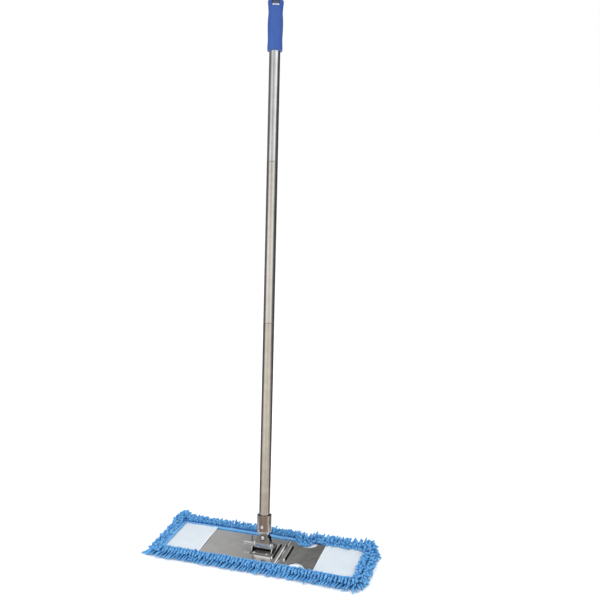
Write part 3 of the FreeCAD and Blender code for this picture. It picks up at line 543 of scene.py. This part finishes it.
BACK_ROWS = [
    (0.28, 14.0, 86, 12.0, 0.14, 0.00, -0.10, 4.6, 2.2),
    (0.38, 15.5, 82, 14.5, 0.24, 0.04, -0.10, 4.6, 2.1),
    (0.48, 15.5, 76, 17.0, 0.38, 0.06, -0.10, 4.6, 2.0),
    (0.55, 14.0, 66, 18.5, 0.46, 0.10, -0.12, 4.6, 2.0),
    (0.56, 10.5, 38, 15.0, 0.42, 0.10, -0.34, 6.2, 2.8),
    (0.54, 8.0, 8, 14.0, 0.36, 0.00, -0.36, 6.6, 2.9),
    (0.52, 5.0, -8, 12.5, 0.34, 0.00, -0.16, 6.8, 2.9),
]
LEFT_ROWS = [
    (0.26, 14.0, 100, 9.5, 0.0, -0.20, -0.20, 5.0, 2.6),
    (0.38, 14.5, 88, 10.5, 0.0, 0.00, -0.30, 5.0, 2.6),
    (0.48, 14.0, 72, 11.5, 0.0, 0.16, -0.40, 5.0, 2.6),
    (0.55, 12.0, 54, 12.0, 0.0, 0.20, -0.50, 5.4, 2.7),
    (0.58, 9.5, 32, 12.5, 0.0, 0.14, -0.50, 5.8, 2.7),
    (0.60, 7.0, 4, 12.5, 0.0, 0.05, -0.38, 6.2, 2.7),
    (0.60, 4.2, -14, 12.0, 0.0, 0.00, -0.10, 6.2, 2.7),
]
RIGHT_ROWS = [
    (0.08, 14.0, 98, 9.5, 0.0, -0.12, -0.20, 5.0, 2.4),
    (0.20, 14.5, 88, 10.5, 0.0, 0.00, -0.30, 5.0, 2.4),
    (0.32, 14.5, 80, 11.5, 0.0, 0.08, -0.36, 5.0, 2.4),
    (0.44, 13.0, 62, 12.5, 0.0, 0.18, -0.45, 5.2, 2.5),
    (0.53, 10.0, 36, 13.0, 0.0, 0.14, -0.50, 5.8, 2.6),
    (0.58, 7.0, 4, 12.5, 0.0, 0.05, -0.38, 6.0, 2.6),
    (0.60, 4.2, -14, 12.0, 0.0, 0.00, -0.10, 6.0, 2.6),
]
SIDES = ("front", "back", "left", "right")
SPACING_COLUMN = 7
# tufts are closer together on a corner, by half of this at its middle
CORNER_CROWDING = 1.8
FLOOR_GAP = 2.2 * MM
# places along a tuft, closer together at its rounded tip
TUFT_RINGS = np.array([
    0.0, 0.08, 0.16, 0.24, 0.32, 0.40, 0.48, 0.56, 0.64, 0.72, 0.80, 0.87, 0.93, 0.975, 1.0,
])


def side_weights(normals):
    """How much each point of the rim belongs to the front, the back, the left end and the right end."""
    x, y = normals[:, 0], normals[:, 1]
    return np.clip(np.stack([-y, y, -x, x], 1), 0, 1) ** 2


def inner_wander(xy):
    """How far the rim's inner edge strays over the well: a slow wobble, and a bulge by the back notch."""
    x, y = xy[:, 0], xy[:, 1]
    from_notch = x - NOTCH_X
    bulge = smooth(from_notch, -33 * MM, -17 * MM) * (1 - smooth(from_notch, 3 * MM, 12 * MM))
    hollow = smooth(from_notch, 8 * MM, 13 * MM) * (1 - smooth(from_notch, 22 * MM, 44 * MM))
    along_back = y > 0.8 * WELL_Y
    wobble = 0.9 * MM * waves(x, y, 14, 0.13, 5)
    return wobble + (16.5 * bulge - 4.0 * hollow - 0.8) * MM * along_back


def front_splay(x):
    """The front fringe spreads forwards at the folding end and draws in a little at the other."""
    return 4.5 * MM * smooth(x, 60 * MM, 230 * MM) - 1.5 * MM * smooth(-x, 120 * MM, 240 * MM)


def lean_in(share, xy, weights):
    """How far the inmost tufts move in over the binding, as a share of the rim's width."""
    along_back = weights[:, 1] * smooth(xy[:, 0], NOTCH_X - 24 * MM, NOTCH_X - 8 * MM)
    in_corner = 4.0 * weights[:, 1] * weights[:, 2]
    return (0.17 * along_back + 0.16 * in_corner) * smooth(-share, -0.46, -0.26)


def corner_lift(xy):
    """The yarn bunches up at the pad's two back corners."""
    away = np.hypot(np.abs(xy[:, 0]) - (RIM_X - 12 * MM), xy[:, 1] - (RIM_Y - 10 * MM))
    return 9.0 * MM * (1 - smooth(away, 6 * MM, 42 * MM))


def calm(rng, spread, *shape):
    """Normal random values without the outliers."""
    return np.clip(rng.normal(0, spread, shape), -1.5 * spread, 1.5 * spread)


def spaced_out(share, rows):
    """Points and normals round the rim, as far apart as its four sides ask, and closer at the corners."""
    points, normals = rim_ring(share, 4000)
    apart = np.linalg.norm(points - np.roll(points, 1, axis=0), axis=1)
    crowding = 1.0 + CORNER_CROWDING * np.abs(normals[:, 0] * normals[:, 1])
    pitch = (side_weights(normals) @ rows)[:, SPACING_COLUMN]
    tufts_so_far = np.cumsum(apart * crowding / pitch / MM)
    chosen = np.searchsorted(tufts_so_far, np.arange(0.5, tufts_so_far[-1]))
    return points[chosen], normals[chosen]


def row_of_tufts(rng, rows):
    """One row all round the rim, from its four sides' settings: arrays for tufts(), and tufts' sides."""
    mean_share = sum(rows[:, 0]) / len(rows)
    points, normals = spaced_out(mean_share, rows)
    count = len(points)
    weights = side_weights(normals)
    share, root, elevation, length, lean, out, up, pitch, radius = (weights @ rows).T
    share = share - lean_in(share, points, weights)
    width = (RIM_X - WELL_X) * normals[:, 0] ** 2 + (RIM_Y - WELL_Y) * normals[:, 1] ** 2
    edge = np.stack([-normals[:, 1], normals[:, 0]], 1)
    # how unruly the yarn is on each side, and the back's lower rows are the loosest
    low_back_row = rows[1, 1] < 11.0
    wild = weights @ (0.18, 0.95 if low_back_row else 0.34, 0.75, 0.62)

    spots = np.zeros((count, 3))
    spots[:, :2] = points + normals * ((share - mean_share) * width)[:, None]
    spots[:, :2] -= normals * (inner_wander(spots) * np.clip(1.6 - 2.2 * share, 0, 1))[:, None]
    along_edge = rng.normal(0, 0.09, count) + rng.uniform(0, 1) * (1 - weights[:, 0])
    spots[:, :2] += edge * (along_edge * pitch * MM + lean * share * width)[:, None]
    spots[:, :2] += normals * rng.normal(0, 0.7 * MM, count)[:, None]
    spots[:, 1] -= front_splay(spots[:, 0]) * weights[:, 0]
    lift = corner_lift(spots)
    wild = wild * (1.0 - 0.5 * lift / lift.max())
    spots[:, 2] = root * MM + rng.normal(0, 0.5 * MM, count) + lift * smooth(root, 4.0, 12.0)

    angle = np.radians(elevation + calm(rng, 11, count) * wild)
    slant = lean * np.where(edge[:, 0] > 0, 1, -1) + calm(rng, 0.30, count) * wild
    direction = np.zeros((count, 3))
    direction[:, :2] = normals * np.cos(angle)[:, None] + edge * slant[:, None]
    direction[:, 2] = np.sin(angle)
    direction /= np.linalg.norm(direction, axis=1, keepdims=True)
    bend = calm(rng, 0.34, count, 3) * wild[:, None]
    bend[:, :2] += normals * out[:, None]
    bend[:, 2] += up

    # a tuft that would go through the floor is shortened
    reach = (length * MM + 0.25 * lift) * rng.uniform(0.85, 1.15, count)
    fall = -reach * (direction[:, 2] + bend[:, 2])
    room = spots[:, 2] - FLOOR_GAP
    reach = reach * np.clip(np.where(fall > room, room / np.maximum(fall, 1e-6), 1.0), 0.35, 1.0)
    radius = radius * MM * rng.uniform(0.88, 1.12, count)
    side = np.select([normals[:, 1] < -0.70, normals[:, 1] > 0.70, normals[:, 0] < 0], [0, 1, 2], 3)
    return (spots, direction, bend, reach, radius), side


def lapping_tufts(rng):
    """Short tufts that lap over the binding right of the back notch, and fill the back left corner."""
    xy, normals = rim_ring(0.08, 290)
    in_corner = np.hypot(xy[:, 0] + WELL_X, xy[:, 1] - WELL_Y) < 20 * MM
    chosen = in_corner | ((normals[:, 1] > 0.99) & (xy[:, 0] > NOTCH_X - 17 * MM))
    xy, normals, in_corner = xy[chosen], normals[chosen], in_corner[chosen]
    count = len(xy)
    spots = np.concatenate([xy + calm(rng, 0.8 * MM, count, 2), np.full((count, 1), 17.6 * MM)], 1)
    spots[:, :2] += normals * (4 * MM * in_corner - inner_wander(spots))[:, None]
    direction = np.zeros((count, 3))
    direction[:, :2] = -normals * np.where(in_corner, 0.10, 0.80)[:, None]
    direction += np.array([0.15, 0.0, 0.0]) + calm(rng, 0.14, count, 3)
    direction[:, 2] += np.where(in_corner, 0.75, 0.48)
    bend = np.array([0.0, -0.10, -0.52]) + calm(rng, 0.08, count, 3)
    length = rng.uniform(8.0, 10.5, count) * MM
    radius = rng.uniform(1.9, 2.3, count) * MM
    return spots, direction, bend, length, radius


def loose_tufts():
    """The three loose tufts that lie on the floor by the left front corner."""
    root = np.array([-RIM_X + 14 * MM, -RIM_Y + 12 * MM, 7.0 * MM])
    spots = root + np.array([(0, 0, 0), (0, 3, 2), (2, -3, 0)]) * MM
    direction = np.array([(-0.95, -0.22, -0.08), (-0.93, -0.05, -0.05), (-0.88, -0.42, -0.10)])
    bend = np.array([(-0.06, 0.02, -0.10), (-0.02, -0.18, -0.16), (-0.05, 0.14, -0.12)])
    return spots, direction, bend, np.array([29.0, 22.0, 21.0]) * MM, np.array([2.5, 2.6, 2.5]) * MM


def fringe():
    """The yarn on the rim, one object for each of the four sides."""
    rng = np.random.default_rng(RANDOM_SEED)
    gathered = {key: [] for key in SIDES}
    for rows in zip(FRONT_ROWS, BACK_ROWS, LEFT_ROWS, RIGHT_ROWS):
        row, side = row_of_tufts(rng, np.array(rows))
        for k, key in enumerate(SIDES):
            gathered[key].append([values[side == k] for values in row])
    gathered["back"].append(lapping_tufts(rng))
    gathered["left"].append(loose_tufts())
    made = {}
    for key, parts in gathered.items():
        arrays = [np.concatenate(column) for column in zip(*parts)]
        points, faces, shades = tufts(*arrays, rng, TUFT_RINGS, 10)
        points[:, 2] = np.maximum(points[:, 2], 0.15 * MM)
        made[key] = add_mesh("fringe_" + key, points, faces, [YARN], floats=shades)
    return made


def rim_cloth():
    """The folded blue cloth band that the yarn is sewn to, all round the well."""
    profile = [
        (0.00, 8.0), (0.00, 11.8), (0.03, 13.4), (0.10, 14.4), (0.20, 14.4), (0.30, 13.2), (0.38, 11.2),
        (0.45, 8.8), (0.50, 6.2), (0.51, 4.0), (0.46, 2.4), (0.34, 1.8), (0.18, 1.8), (0.02, 2.6),
    ]
    steps = 420
    rings = []
    for share, height in profile:
        xy, normals = rim_ring(share, steps)
        back = side_weights(normals)[:, 1]
        xy = xy + normals * (0.35 * share * (RIM_Y - WELL_Y) * back)[:, None]
        lump = 1.0 + 0.05 * waves(xy[:, 0], xy[:, 1], 5, 0.05)
        lift = (corner_lift(xy) + 1.2 * MM * back) * smooth(height, 2.0, 12.0)
        rings.append(np.concatenate([xy, (height * MM * lump + lift)[:, None]], 1))
    points = np.stack(rings, 1)
    return add_mesh("rim_cloth", points, tube_faces(steps, len(profile), True), [RIM_CLOTH])


def rim_binding():
    """The smooth light-blue binding round the well, a flat-bottomed welt puffed between its stitches."""
    section = [
        (-3.4, 13.9), (-3.7, 14.5), (-3.2, 15.6), (-1.8, 16.7), (0.2, 17.3), (2.4, 17.5), (4.6, 17.1),
        (6.2, 16.0), (6.8, 14.4), (6.4, 12.8), (2.0, 12.9), (-1.5, 13.8),
    ]
    steps = 640
    xy, normal = rim_ring(0.0, steps)
    stitches = 150
    way_round = np.arange(steps) / steps
    wobble = waves(xy[:, 0], xy[:, 1], 9, 0.04)
    puff = 0.22 * MM * np.cos(way_round * 2 * math.pi * stitches) + 0.4 * MM * wobble
    wander = inner_wander(xy)
    points = np.zeros((steps, len(section), 3))
    for j, (out, height) in enumerate(section):
        inner = np.clip((4.0 - out) / 7.0, 0.0, 1.0)
        wide = out * MM * (1.0 + 0.7 * np.clip(-normal[:, 0], 0, 1) ** 2 * (out > 0))
        points[:, j, :2] = xy + normal * (wide - wander * inner)[:, None]
        points[:, j, 2] = height * MM + puff * (height > 14.0) * (height - 13.8) / 3.0
        points[:, j, 2] += 0.4 * corner_lift(xy) * (1 - inner)
    return add_mesh("rim_binding", points, tube_faces(steps, len(section), True), [BINDING_CLOTH])


# ---------------------------------------------------------------- the pad's core, top cloth and pile
def grid(reach_x, columns, near, reach_y, rows):
    """Places over the pad out to the reaches, with more columns of them near the fold."""
    even = np.linspace(-reach_x, reach_x, columns)
    by_fold = np.linspace(FOLD_X - near, FOLD_X + near, 25)
    along_x = np.sort(np.concatenate([even, by_fold]))
    return np.meshgrid(along_x, np.linspace(-reach_y, reach_y, rows), indexing="ij")


def fold_groove(x, z_low):
    """Height of the underside: a V below the fold, so that the pad can close on itself."""
    return np.maximum(z_low, FOLD_Z - 4.0 * MM - np.abs(x - FOLD_X) / math.tan(math.radians(42.0)))


def pad_core():
    """The pad's soft filling, thinner towards its edges and grooved under the fold."""
    reach_x, reach_y = WELL_X + 6 * MM, WELL_Y + 5 * MM
    x, y = grid(reach_x, 120, 14 * MM, reach_y, 40)
    edge = np.minimum(smooth(reach_x - np.abs(x), 0, 16 * MM), smooth(reach_y - np.abs(y), 0, 16 * MM))
    top = CLOTH_TOP - 1.2 * MM - (1 - edge) * 1.6 * MM
    bottom = 4.2 * MM + (1 - edge) * 2.2 * MM - 0.5 * MM * waves(x, y, 3, 0.03)
    bottom = np.minimum(fold_groove(x, bottom), top - 0.6 * MM)
    return slab("pad_core", x, y, top, bottom, [CORE_CLOTH])


def well_cloth():
    """The faintly quilted white cloth under the plate, which shows in the finger notches."""
    x, y = grid(WELL_X + 1.5 * MM, 150, 10 * MM, WELL_Y + 1.5 * MM, 44)
    quilt = 0.22 * MM * waves(x, y, 12, 0.022)
    top = CLOTH_TOP - 0.35 * MM + quilt
    return slab("well_cloth", x, y, np.minimum(top, CLOTH_TOP), top - 0.9 * MM, [WELL_CLOTH])


def under_pile():
    """The short pile that wipes the floor, in two objects with a gap between them at the fold."""
    rng = np.random.default_rng(RANDOM_SEED + 1)
    pitch, stray = 8.2 * MM, 1.2 * MM
    columns = np.arange(-WELL_X - 8 * MM, WELL_X + 8 * MM, pitch)
    lines = np.arange(-WELL_Y - 6 * MM, WELL_Y + 6 * MM, pitch)
    x, y = np.meshgrid(columns, lines)
    x = (x + rng.normal(0, stray, x.shape)).ravel()
    y = (y + rng.normal(0, stray, y.shape)).ravel()
    made = {}
    rings = np.array([0.0, 0.25, 0.5, 0.75, 0.93, 1.0])
    for key, keep in (("left", x < FOLD_X - 14 * MM), ("right", x > FOLD_X + 14 * MM)):
        count = int(keep.sum())
        base = np.stack([x[keep], y[keep], np.full(count, 5.6 * MM)], 1)
        turn = rng.uniform(0, 2 * math.pi, count)
        direction = np.stack([np.cos(turn) * 0.55, np.sin(turn) * 0.55, np.full(count, -0.33)], 1)
        bend = np.stack([np.cos(turn) * 0.3, np.sin(turn) * 0.3, np.full(count, 0.02)], 1)
        length = rng.uniform(9.0, 11.5, count) * MM
        radius = rng.uniform(2.0, 2.5, count) * MM
        points, faces, shades = tufts(base, direction, bend, length, radius, rng, rings, 8)
        points[:, 2] = np.maximum(points[:, 2], 0.1 * MM)
        made[key] = add_mesh("pile_" + key, points, faces, [PILE], floats=shades)
    return made


# ---------------------------------------------------------------- the pockets that hold the plate's ends
def pocket(name, box, side, seed):
    """White cloth over one end of the plate, the left for side -1 and the right for 1.

    It has a folded hem at its mouth, and is drawn down past the plate's end and tucked in at the rim."""
    mouth_x, end_x = (box[0].x, box[1].x) if side > 0 else (box[1].x, box[0].x)
    plate_end = PLATE_RIGHT_END if side > 0 else -PLATE_LEFT_END
    hem, half = 9.0 * MM, WELL_Y + 2.0 * MM
    at_hem = np.concatenate([[0.0, 0.6 * MM, 1.4 * MM], np.linspace(3 * MM, hem + 1.5 * MM, 8)])
    beyond = np.linspace(12 * MM, abs(end_x + side * 2.0 * MM - mouth_x), 52)
    u, y = np.meshgrid(np.concatenate([at_hem, beyond]), np.linspace(-half, half, 64), indexing="ij")
    x = mouth_x + side * u
    past = smooth(np.abs(x), plate_end - 3 * MM, plate_end + 7 * MM)
    rim_lift = 1.3 * MM * smooth(np.abs(y), WELL_Y - 16 * MM, WELL_Y)
    gape = 1.1 * MM * (1 - smooth(u, 0.0, 22 * MM)) * (1 - (y / half) ** 2) ** 2
    draped = 0.55 * MM * waves(x, y, seed, 0.055) * smooth(u, 0.0, 20 * MM)
    near_end = smooth(np.abs(x), plate_end - 30 * MM, plate_end) * (1 - past)
    pull = 0.35 * MM * np.sin(y / (7.5 * MM) + seed) * near_end
    under = PLATE_TOP + 0.18 * MM + rim_lift * (1 - past) + gape + np.abs(draped) + np.abs(pull)
    under = under - past * 1.9 * MM
    hem_zone = 1 - smooth(u, hem, hem + 1.6 * MM)
    dents = 0.6 + 0.4 * np.cos(y * 2 * math.pi / (3.2 * MM))
    stitch = np.exp(-(((u - hem + 1.5 * MM) / (0.7 * MM)) ** 2)) * dents
    edge_round = 1 - np.exp(-u / (0.5 * MM))
    thick = 0.75 * MM + hem_zone * 0.85 * MM - 0.35 * MM * stitch
    top = under + thick * (0.35 + 0.65 * edge_round)
    made = slab(name, x, y, top, under, [WHITE_CLOTH, HEM_HIGHLIGHT_CLOTH])
    middles = np.zeros(len(made.data.polygons) * 3)
    made.data.polygons.foreach_get("center", middles)
    # the hem's folded edge takes the lighter cloth, a painted highlight
    on_hem = np.abs(middles[0::3] - mouth_x) < 1.7 * MM
    made.data.polygons.foreach_set("material_index", on_hem.astype(np.int32))
    if side < 0:
        made.data.flip_normals()
    return made


def hem_stitches(name, x):
    """A line of short lockstitches along a pocket's hem."""
    rng = np.random.default_rng(RANDOM_SEED + 7)
    half, z = WELL_Y - 6 * MM, PLATE_TOP + 1.9 * MM
    pitch, length, radius, sides = 3.4 * MM, 2.3 * MM, 0.26 * MM, 6
    # along the stitch as a share of its length, its thickness there, and its height in mm
    rings = [(-0.5, 0.3, -0.25), (-0.38, 0.9, 0.0), (0.0, 1.0, 0.12), (0.38, 0.9, 0.0), (0.5, 0.3, -0.25)]
    points, faces = [], []
    for middle in np.arange(-half, half, pitch):
        skew = rng.normal(0, 0.12 * MM)
        first = len(points)
        for share, size, lift in rings:
            for j in range(sides):
                angle = 2 * math.pi * j / sides
                across, up = radius * size * math.cos(angle), radius * size * math.sin(angle)
                points.append((x + skew * 2 * share + across, middle + share * length, z + lift * MM + up))
        faces += tube_faces(len(rings), sides, False, first)
    return add_mesh(name, points, faces, [THREAD])


# ---------------------------------------------------------------- build
FRINGE = fringe()
CLOTH_BAND = rim_cloth()
BINDING = rim_binding()
CORE = pad_core()
TOP_CLOTH = well_cloth()
UNDER = under_pile()
LEFT_POCKET = pocket("pocket_cloth_left", POCKET_LEFT, -1, 21)
RIGHT_POCKET = pocket("pocket_cloth_right", POCKET_RIGHT, 1, 22)
LEFT_STITCHES = hem_stitches("hem_stitches_left", POCKET_LEFT[1].x - 7.5 * MM)
RIGHT_STITCHES = hem_stitches("hem_stitches_right", POCKET_RIGHT[0].x + 7.5 * MM)


def across_fold(piece):
    """Bake a piece's place into its mesh, where it stays as it is."""
    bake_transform(piece)


for key in ("front", "back"):
    across_fold(FRINGE[key])
    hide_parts(f"fringe_{key}_left", f"fringe_{key}_right")
for key, body in (("left", "frame"), ("right", "wing")):
    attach(FRINGE[key], body)
    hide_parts(f"fringe_end_{key}")
    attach(UNDER[key], body)
# without this the plates mirror the back yarn, and look blue
FRINGE["back"].visible_glossy = False
across_fold(CLOTH_BAND)
across_fold(BINDING)
across_fold(CORE)
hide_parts("pad_backing_left", "pad_backing_right")
across_fold(TOP_CLOTH)
for piece, stitches, body, replaced, box in (
    (LEFT_POCKET, LEFT_STITCHES, "frame", "pocket_left", POCKET_LEFT),
    (RIGHT_POCKET, RIGHT_STITCHES, "wing", "pocket_right", POCKET_RIGHT),
):
    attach(piece, body)
    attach(stitches, body)
    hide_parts(replaced)


# ---------------------------------------------------------------- floor, light and camera
def stage_floor():
    made, tree, shader = new_material("floor_pale", (0.97, 0.97, 0.97), 0.9, Specular_IOR_Level=0.0)
    soft = object_noise(tree, 1.5, detail=2.0)
    tone = ramp(tree, soft, [(0.3, (0.966, 0.966, 0.966)), (0.7, (0.976, 0.976, 0.976))])
    tree.links.new(tone, shader.inputs["Base Color"])
    reach, thickness = 40.0, 0.02
    x, y = np.meshgrid(np.linspace(-reach, reach, 9), np.linspace(-reach, reach, 9), indexing="ij")
    top, bottom = np.zeros_like(x), np.full_like(x, -thickness)
    floor = slab("floor", x, y, top, bottom, [made], smooth_shading=False)
    floor.visible_glossy = False


def area_light(name, place, target, size, power):
    data = bpy.data.lights.new(name, "AREA")
    data.shape = "RECTANGLE"
    data.size, data.size_y = size
    data.energy = power
    light = bpy.data.objects.new(name, data)
    bpy.context.scene.collection.objects.link(light)
    light.location = place
    light.visible_glossy = False
    way = np.array(target, float) - np.array(place, float)
    yaw = math.atan2(-way[0], way[1])
    pitch = math.atan2(way[2], math.hypot(way[0], way[1]))
    light.rotation_euler = (math.pi / 2 + pitch, 0, yaw)


def grey(value, warm=0.0):
    return (value * (1 + warm), value, value * (1 - 1.3 * warm))


# What the metal mirrors, from straight down to straight up. Each band fades in between two heights of the
# mirrored direction, and covers the band before it. Its stops go once round the studio.
STUDIO_BANDS = [
    (-1.0, -1.0, [(0.0, grey(1.4)), (1.0, grey(1.4))]),
    (-0.50, -0.36, [
        (0.0, grey(0.30)), (0.08, grey(0.28)), (0.13, grey(0.10)), (0.255, grey(0.14)),
        (0.305, grey(0.66)), (0.345, grey(0.50, 0.05)), (0.40, grey(0.36, 0.12)),
        (0.58, grey(0.36, 0.12)), (0.64, grey(0.46, 0.08)), (0.675, grey(0.72, 0.03)),
        (0.705, grey(0.62, 0.06)), (0.745, grey(0.11)), (0.90, grey(0.05)), (0.96, grey(0.25)),
    ]),
    (-0.14, 0.0, [
        (0.0, grey(0.34)), (0.07, grey(0.32)), (0.12, grey(0.12)), (0.22, grey(0.12)),
        (0.285, grey(0.18)), (0.325, grey(0.84, 0.03)), (0.375, grey(0.94, 0.04)),
        (0.50, grey(0.68, 0.06)), (0.59, grey(0.92, 0.03)), (0.645, grey(0.76)), (0.685, grey(0.15)),
        (0.80, grey(0.05)), (0.90, grey(0.04)), (0.95, grey(0.22)),
    ]),
    (0.27, 0.36, [
        (0.0, grey(0.16)), (0.008, grey(0.24)), (0.016, grey(0.43)), (0.08, grey(0.42)),
        (0.14, grey(0.26)), (0.27, grey(0.28)), (0.336, grey(0.64)), (0.40, grey(0.80)),
        (0.448, grey(0.44)), (0.475, grey(0.44)), (0.517, grey(0.62)), (0.577, grey(0.80)),
        (0.638, grey(1.10)), (0.70, grey(0.85)), (0.745, grey(0.24)), (0.79, grey(0.12)),
        (0.90, grey(0.08)), (0.94, grey(0.24)), (0.975, grey(0.15)), (1.0, grey(0.17)),
    ]),
    (0.60, 0.72, [
        (0.0, grey(1.1)), (0.55, grey(1.1)), (0.64, grey(0.3)), (0.90, grey(0.2)), (0.97, grey(0.8)),
    ]),
]


def either(tree, choose, first, second):
    """The first colour where choose is 0 and the second where it is 1. Each is a link or a plain colour."""
    made = node(tree, "ShaderNodeMixRGB")
    tree.links.new(choose, made.inputs[0])
    for socket, color in zip((made.inputs[1], made.inputs[2]), (first, second)):
        if isinstance(color, tuple):
            socket.default_value = (*color, 1.0)
        else:
            tree.links.new(color, socket)
    return made.outputs[0]


def studio_world():
    """White to the camera, an even pale light on matt surfaces, and the studio's bands in the metal."""
    world = bpy.data.worlds.new("studio")
    bpy.context.scene.world = world
    world.use_nodes = True
    tree = world.node_tree
    tree.nodes.clear()
    way = coordinates(tree, "Generated", (0, 0, -CAMERA_YAW))
    around = math_node(tree, "ARCTAN2", way["X"], math_node(tree, "MULTIPLY", way["Y"], -1.0))
    share = mapped(tree, around, -math.pi, math.pi, 0.0, 1.0)
    mirrored = ramp(tree, share, STUDIO_BANDS[0][2])
    for start, end, stops in STUDIO_BANDS[1:]:
        fade = mapped(tree, way["Z"], start, end, 0.0, 1.0)
        mirrored = either(tree, fade, mirrored, ramp(tree, share, stops))
    path = node(tree, "ShaderNodeLightPath")
    by_ray = either(tree, path.outputs["Is Glossy Ray"], (1.04, 1.06, 1.09), mirrored)
    seen = either(tree, path.outputs["Is Camera Ray"], by_ray, (1.0, 1.0, 1.0))
    background = node(tree, "ShaderNodeBackground")
    tree.links.new(seen, background.inputs["Color"])
    output = node(tree, "ShaderNodeOutputWorld")
    tree.links.new(background.outputs[0], output.inputs["Surface"])


def camera():
    data = bpy.data.cameras.new("camera")
    data.lens = CAMERA_LENS
    data.sensor_width = 36.0
    data.clip_start, data.clip_end = 0.05, 100.0
    made = bpy.data.objects.new("camera", data)
    bpy.context.scene.collection.objects.link(made)
    made.location = CAMERA_PLACE
    made.rotation_euler = (math.pi / 2 + CAMERA_PITCH, 0, CAMERA_YAW)
    bpy.context.scene.camera = made


stage_floor()
studio_world()
area_light("key", place=(-1.6, -1.8, 2.4), target=(0, 0, 0.1), size=(1.6, 1.6), power=24.0)
area_light("fill", place=(2.2, -1.2, 1.6), target=(0, 0, 0.3), size=(1.4, 2.0), power=10.0)
area_light("top", place=(0.2, 0.6, 2.8), target=(0, 0, 0), size=(2.4, 1.6), power=12.0)
camera()
bpy.context.scene.view_settings.view_transform = "Standard"
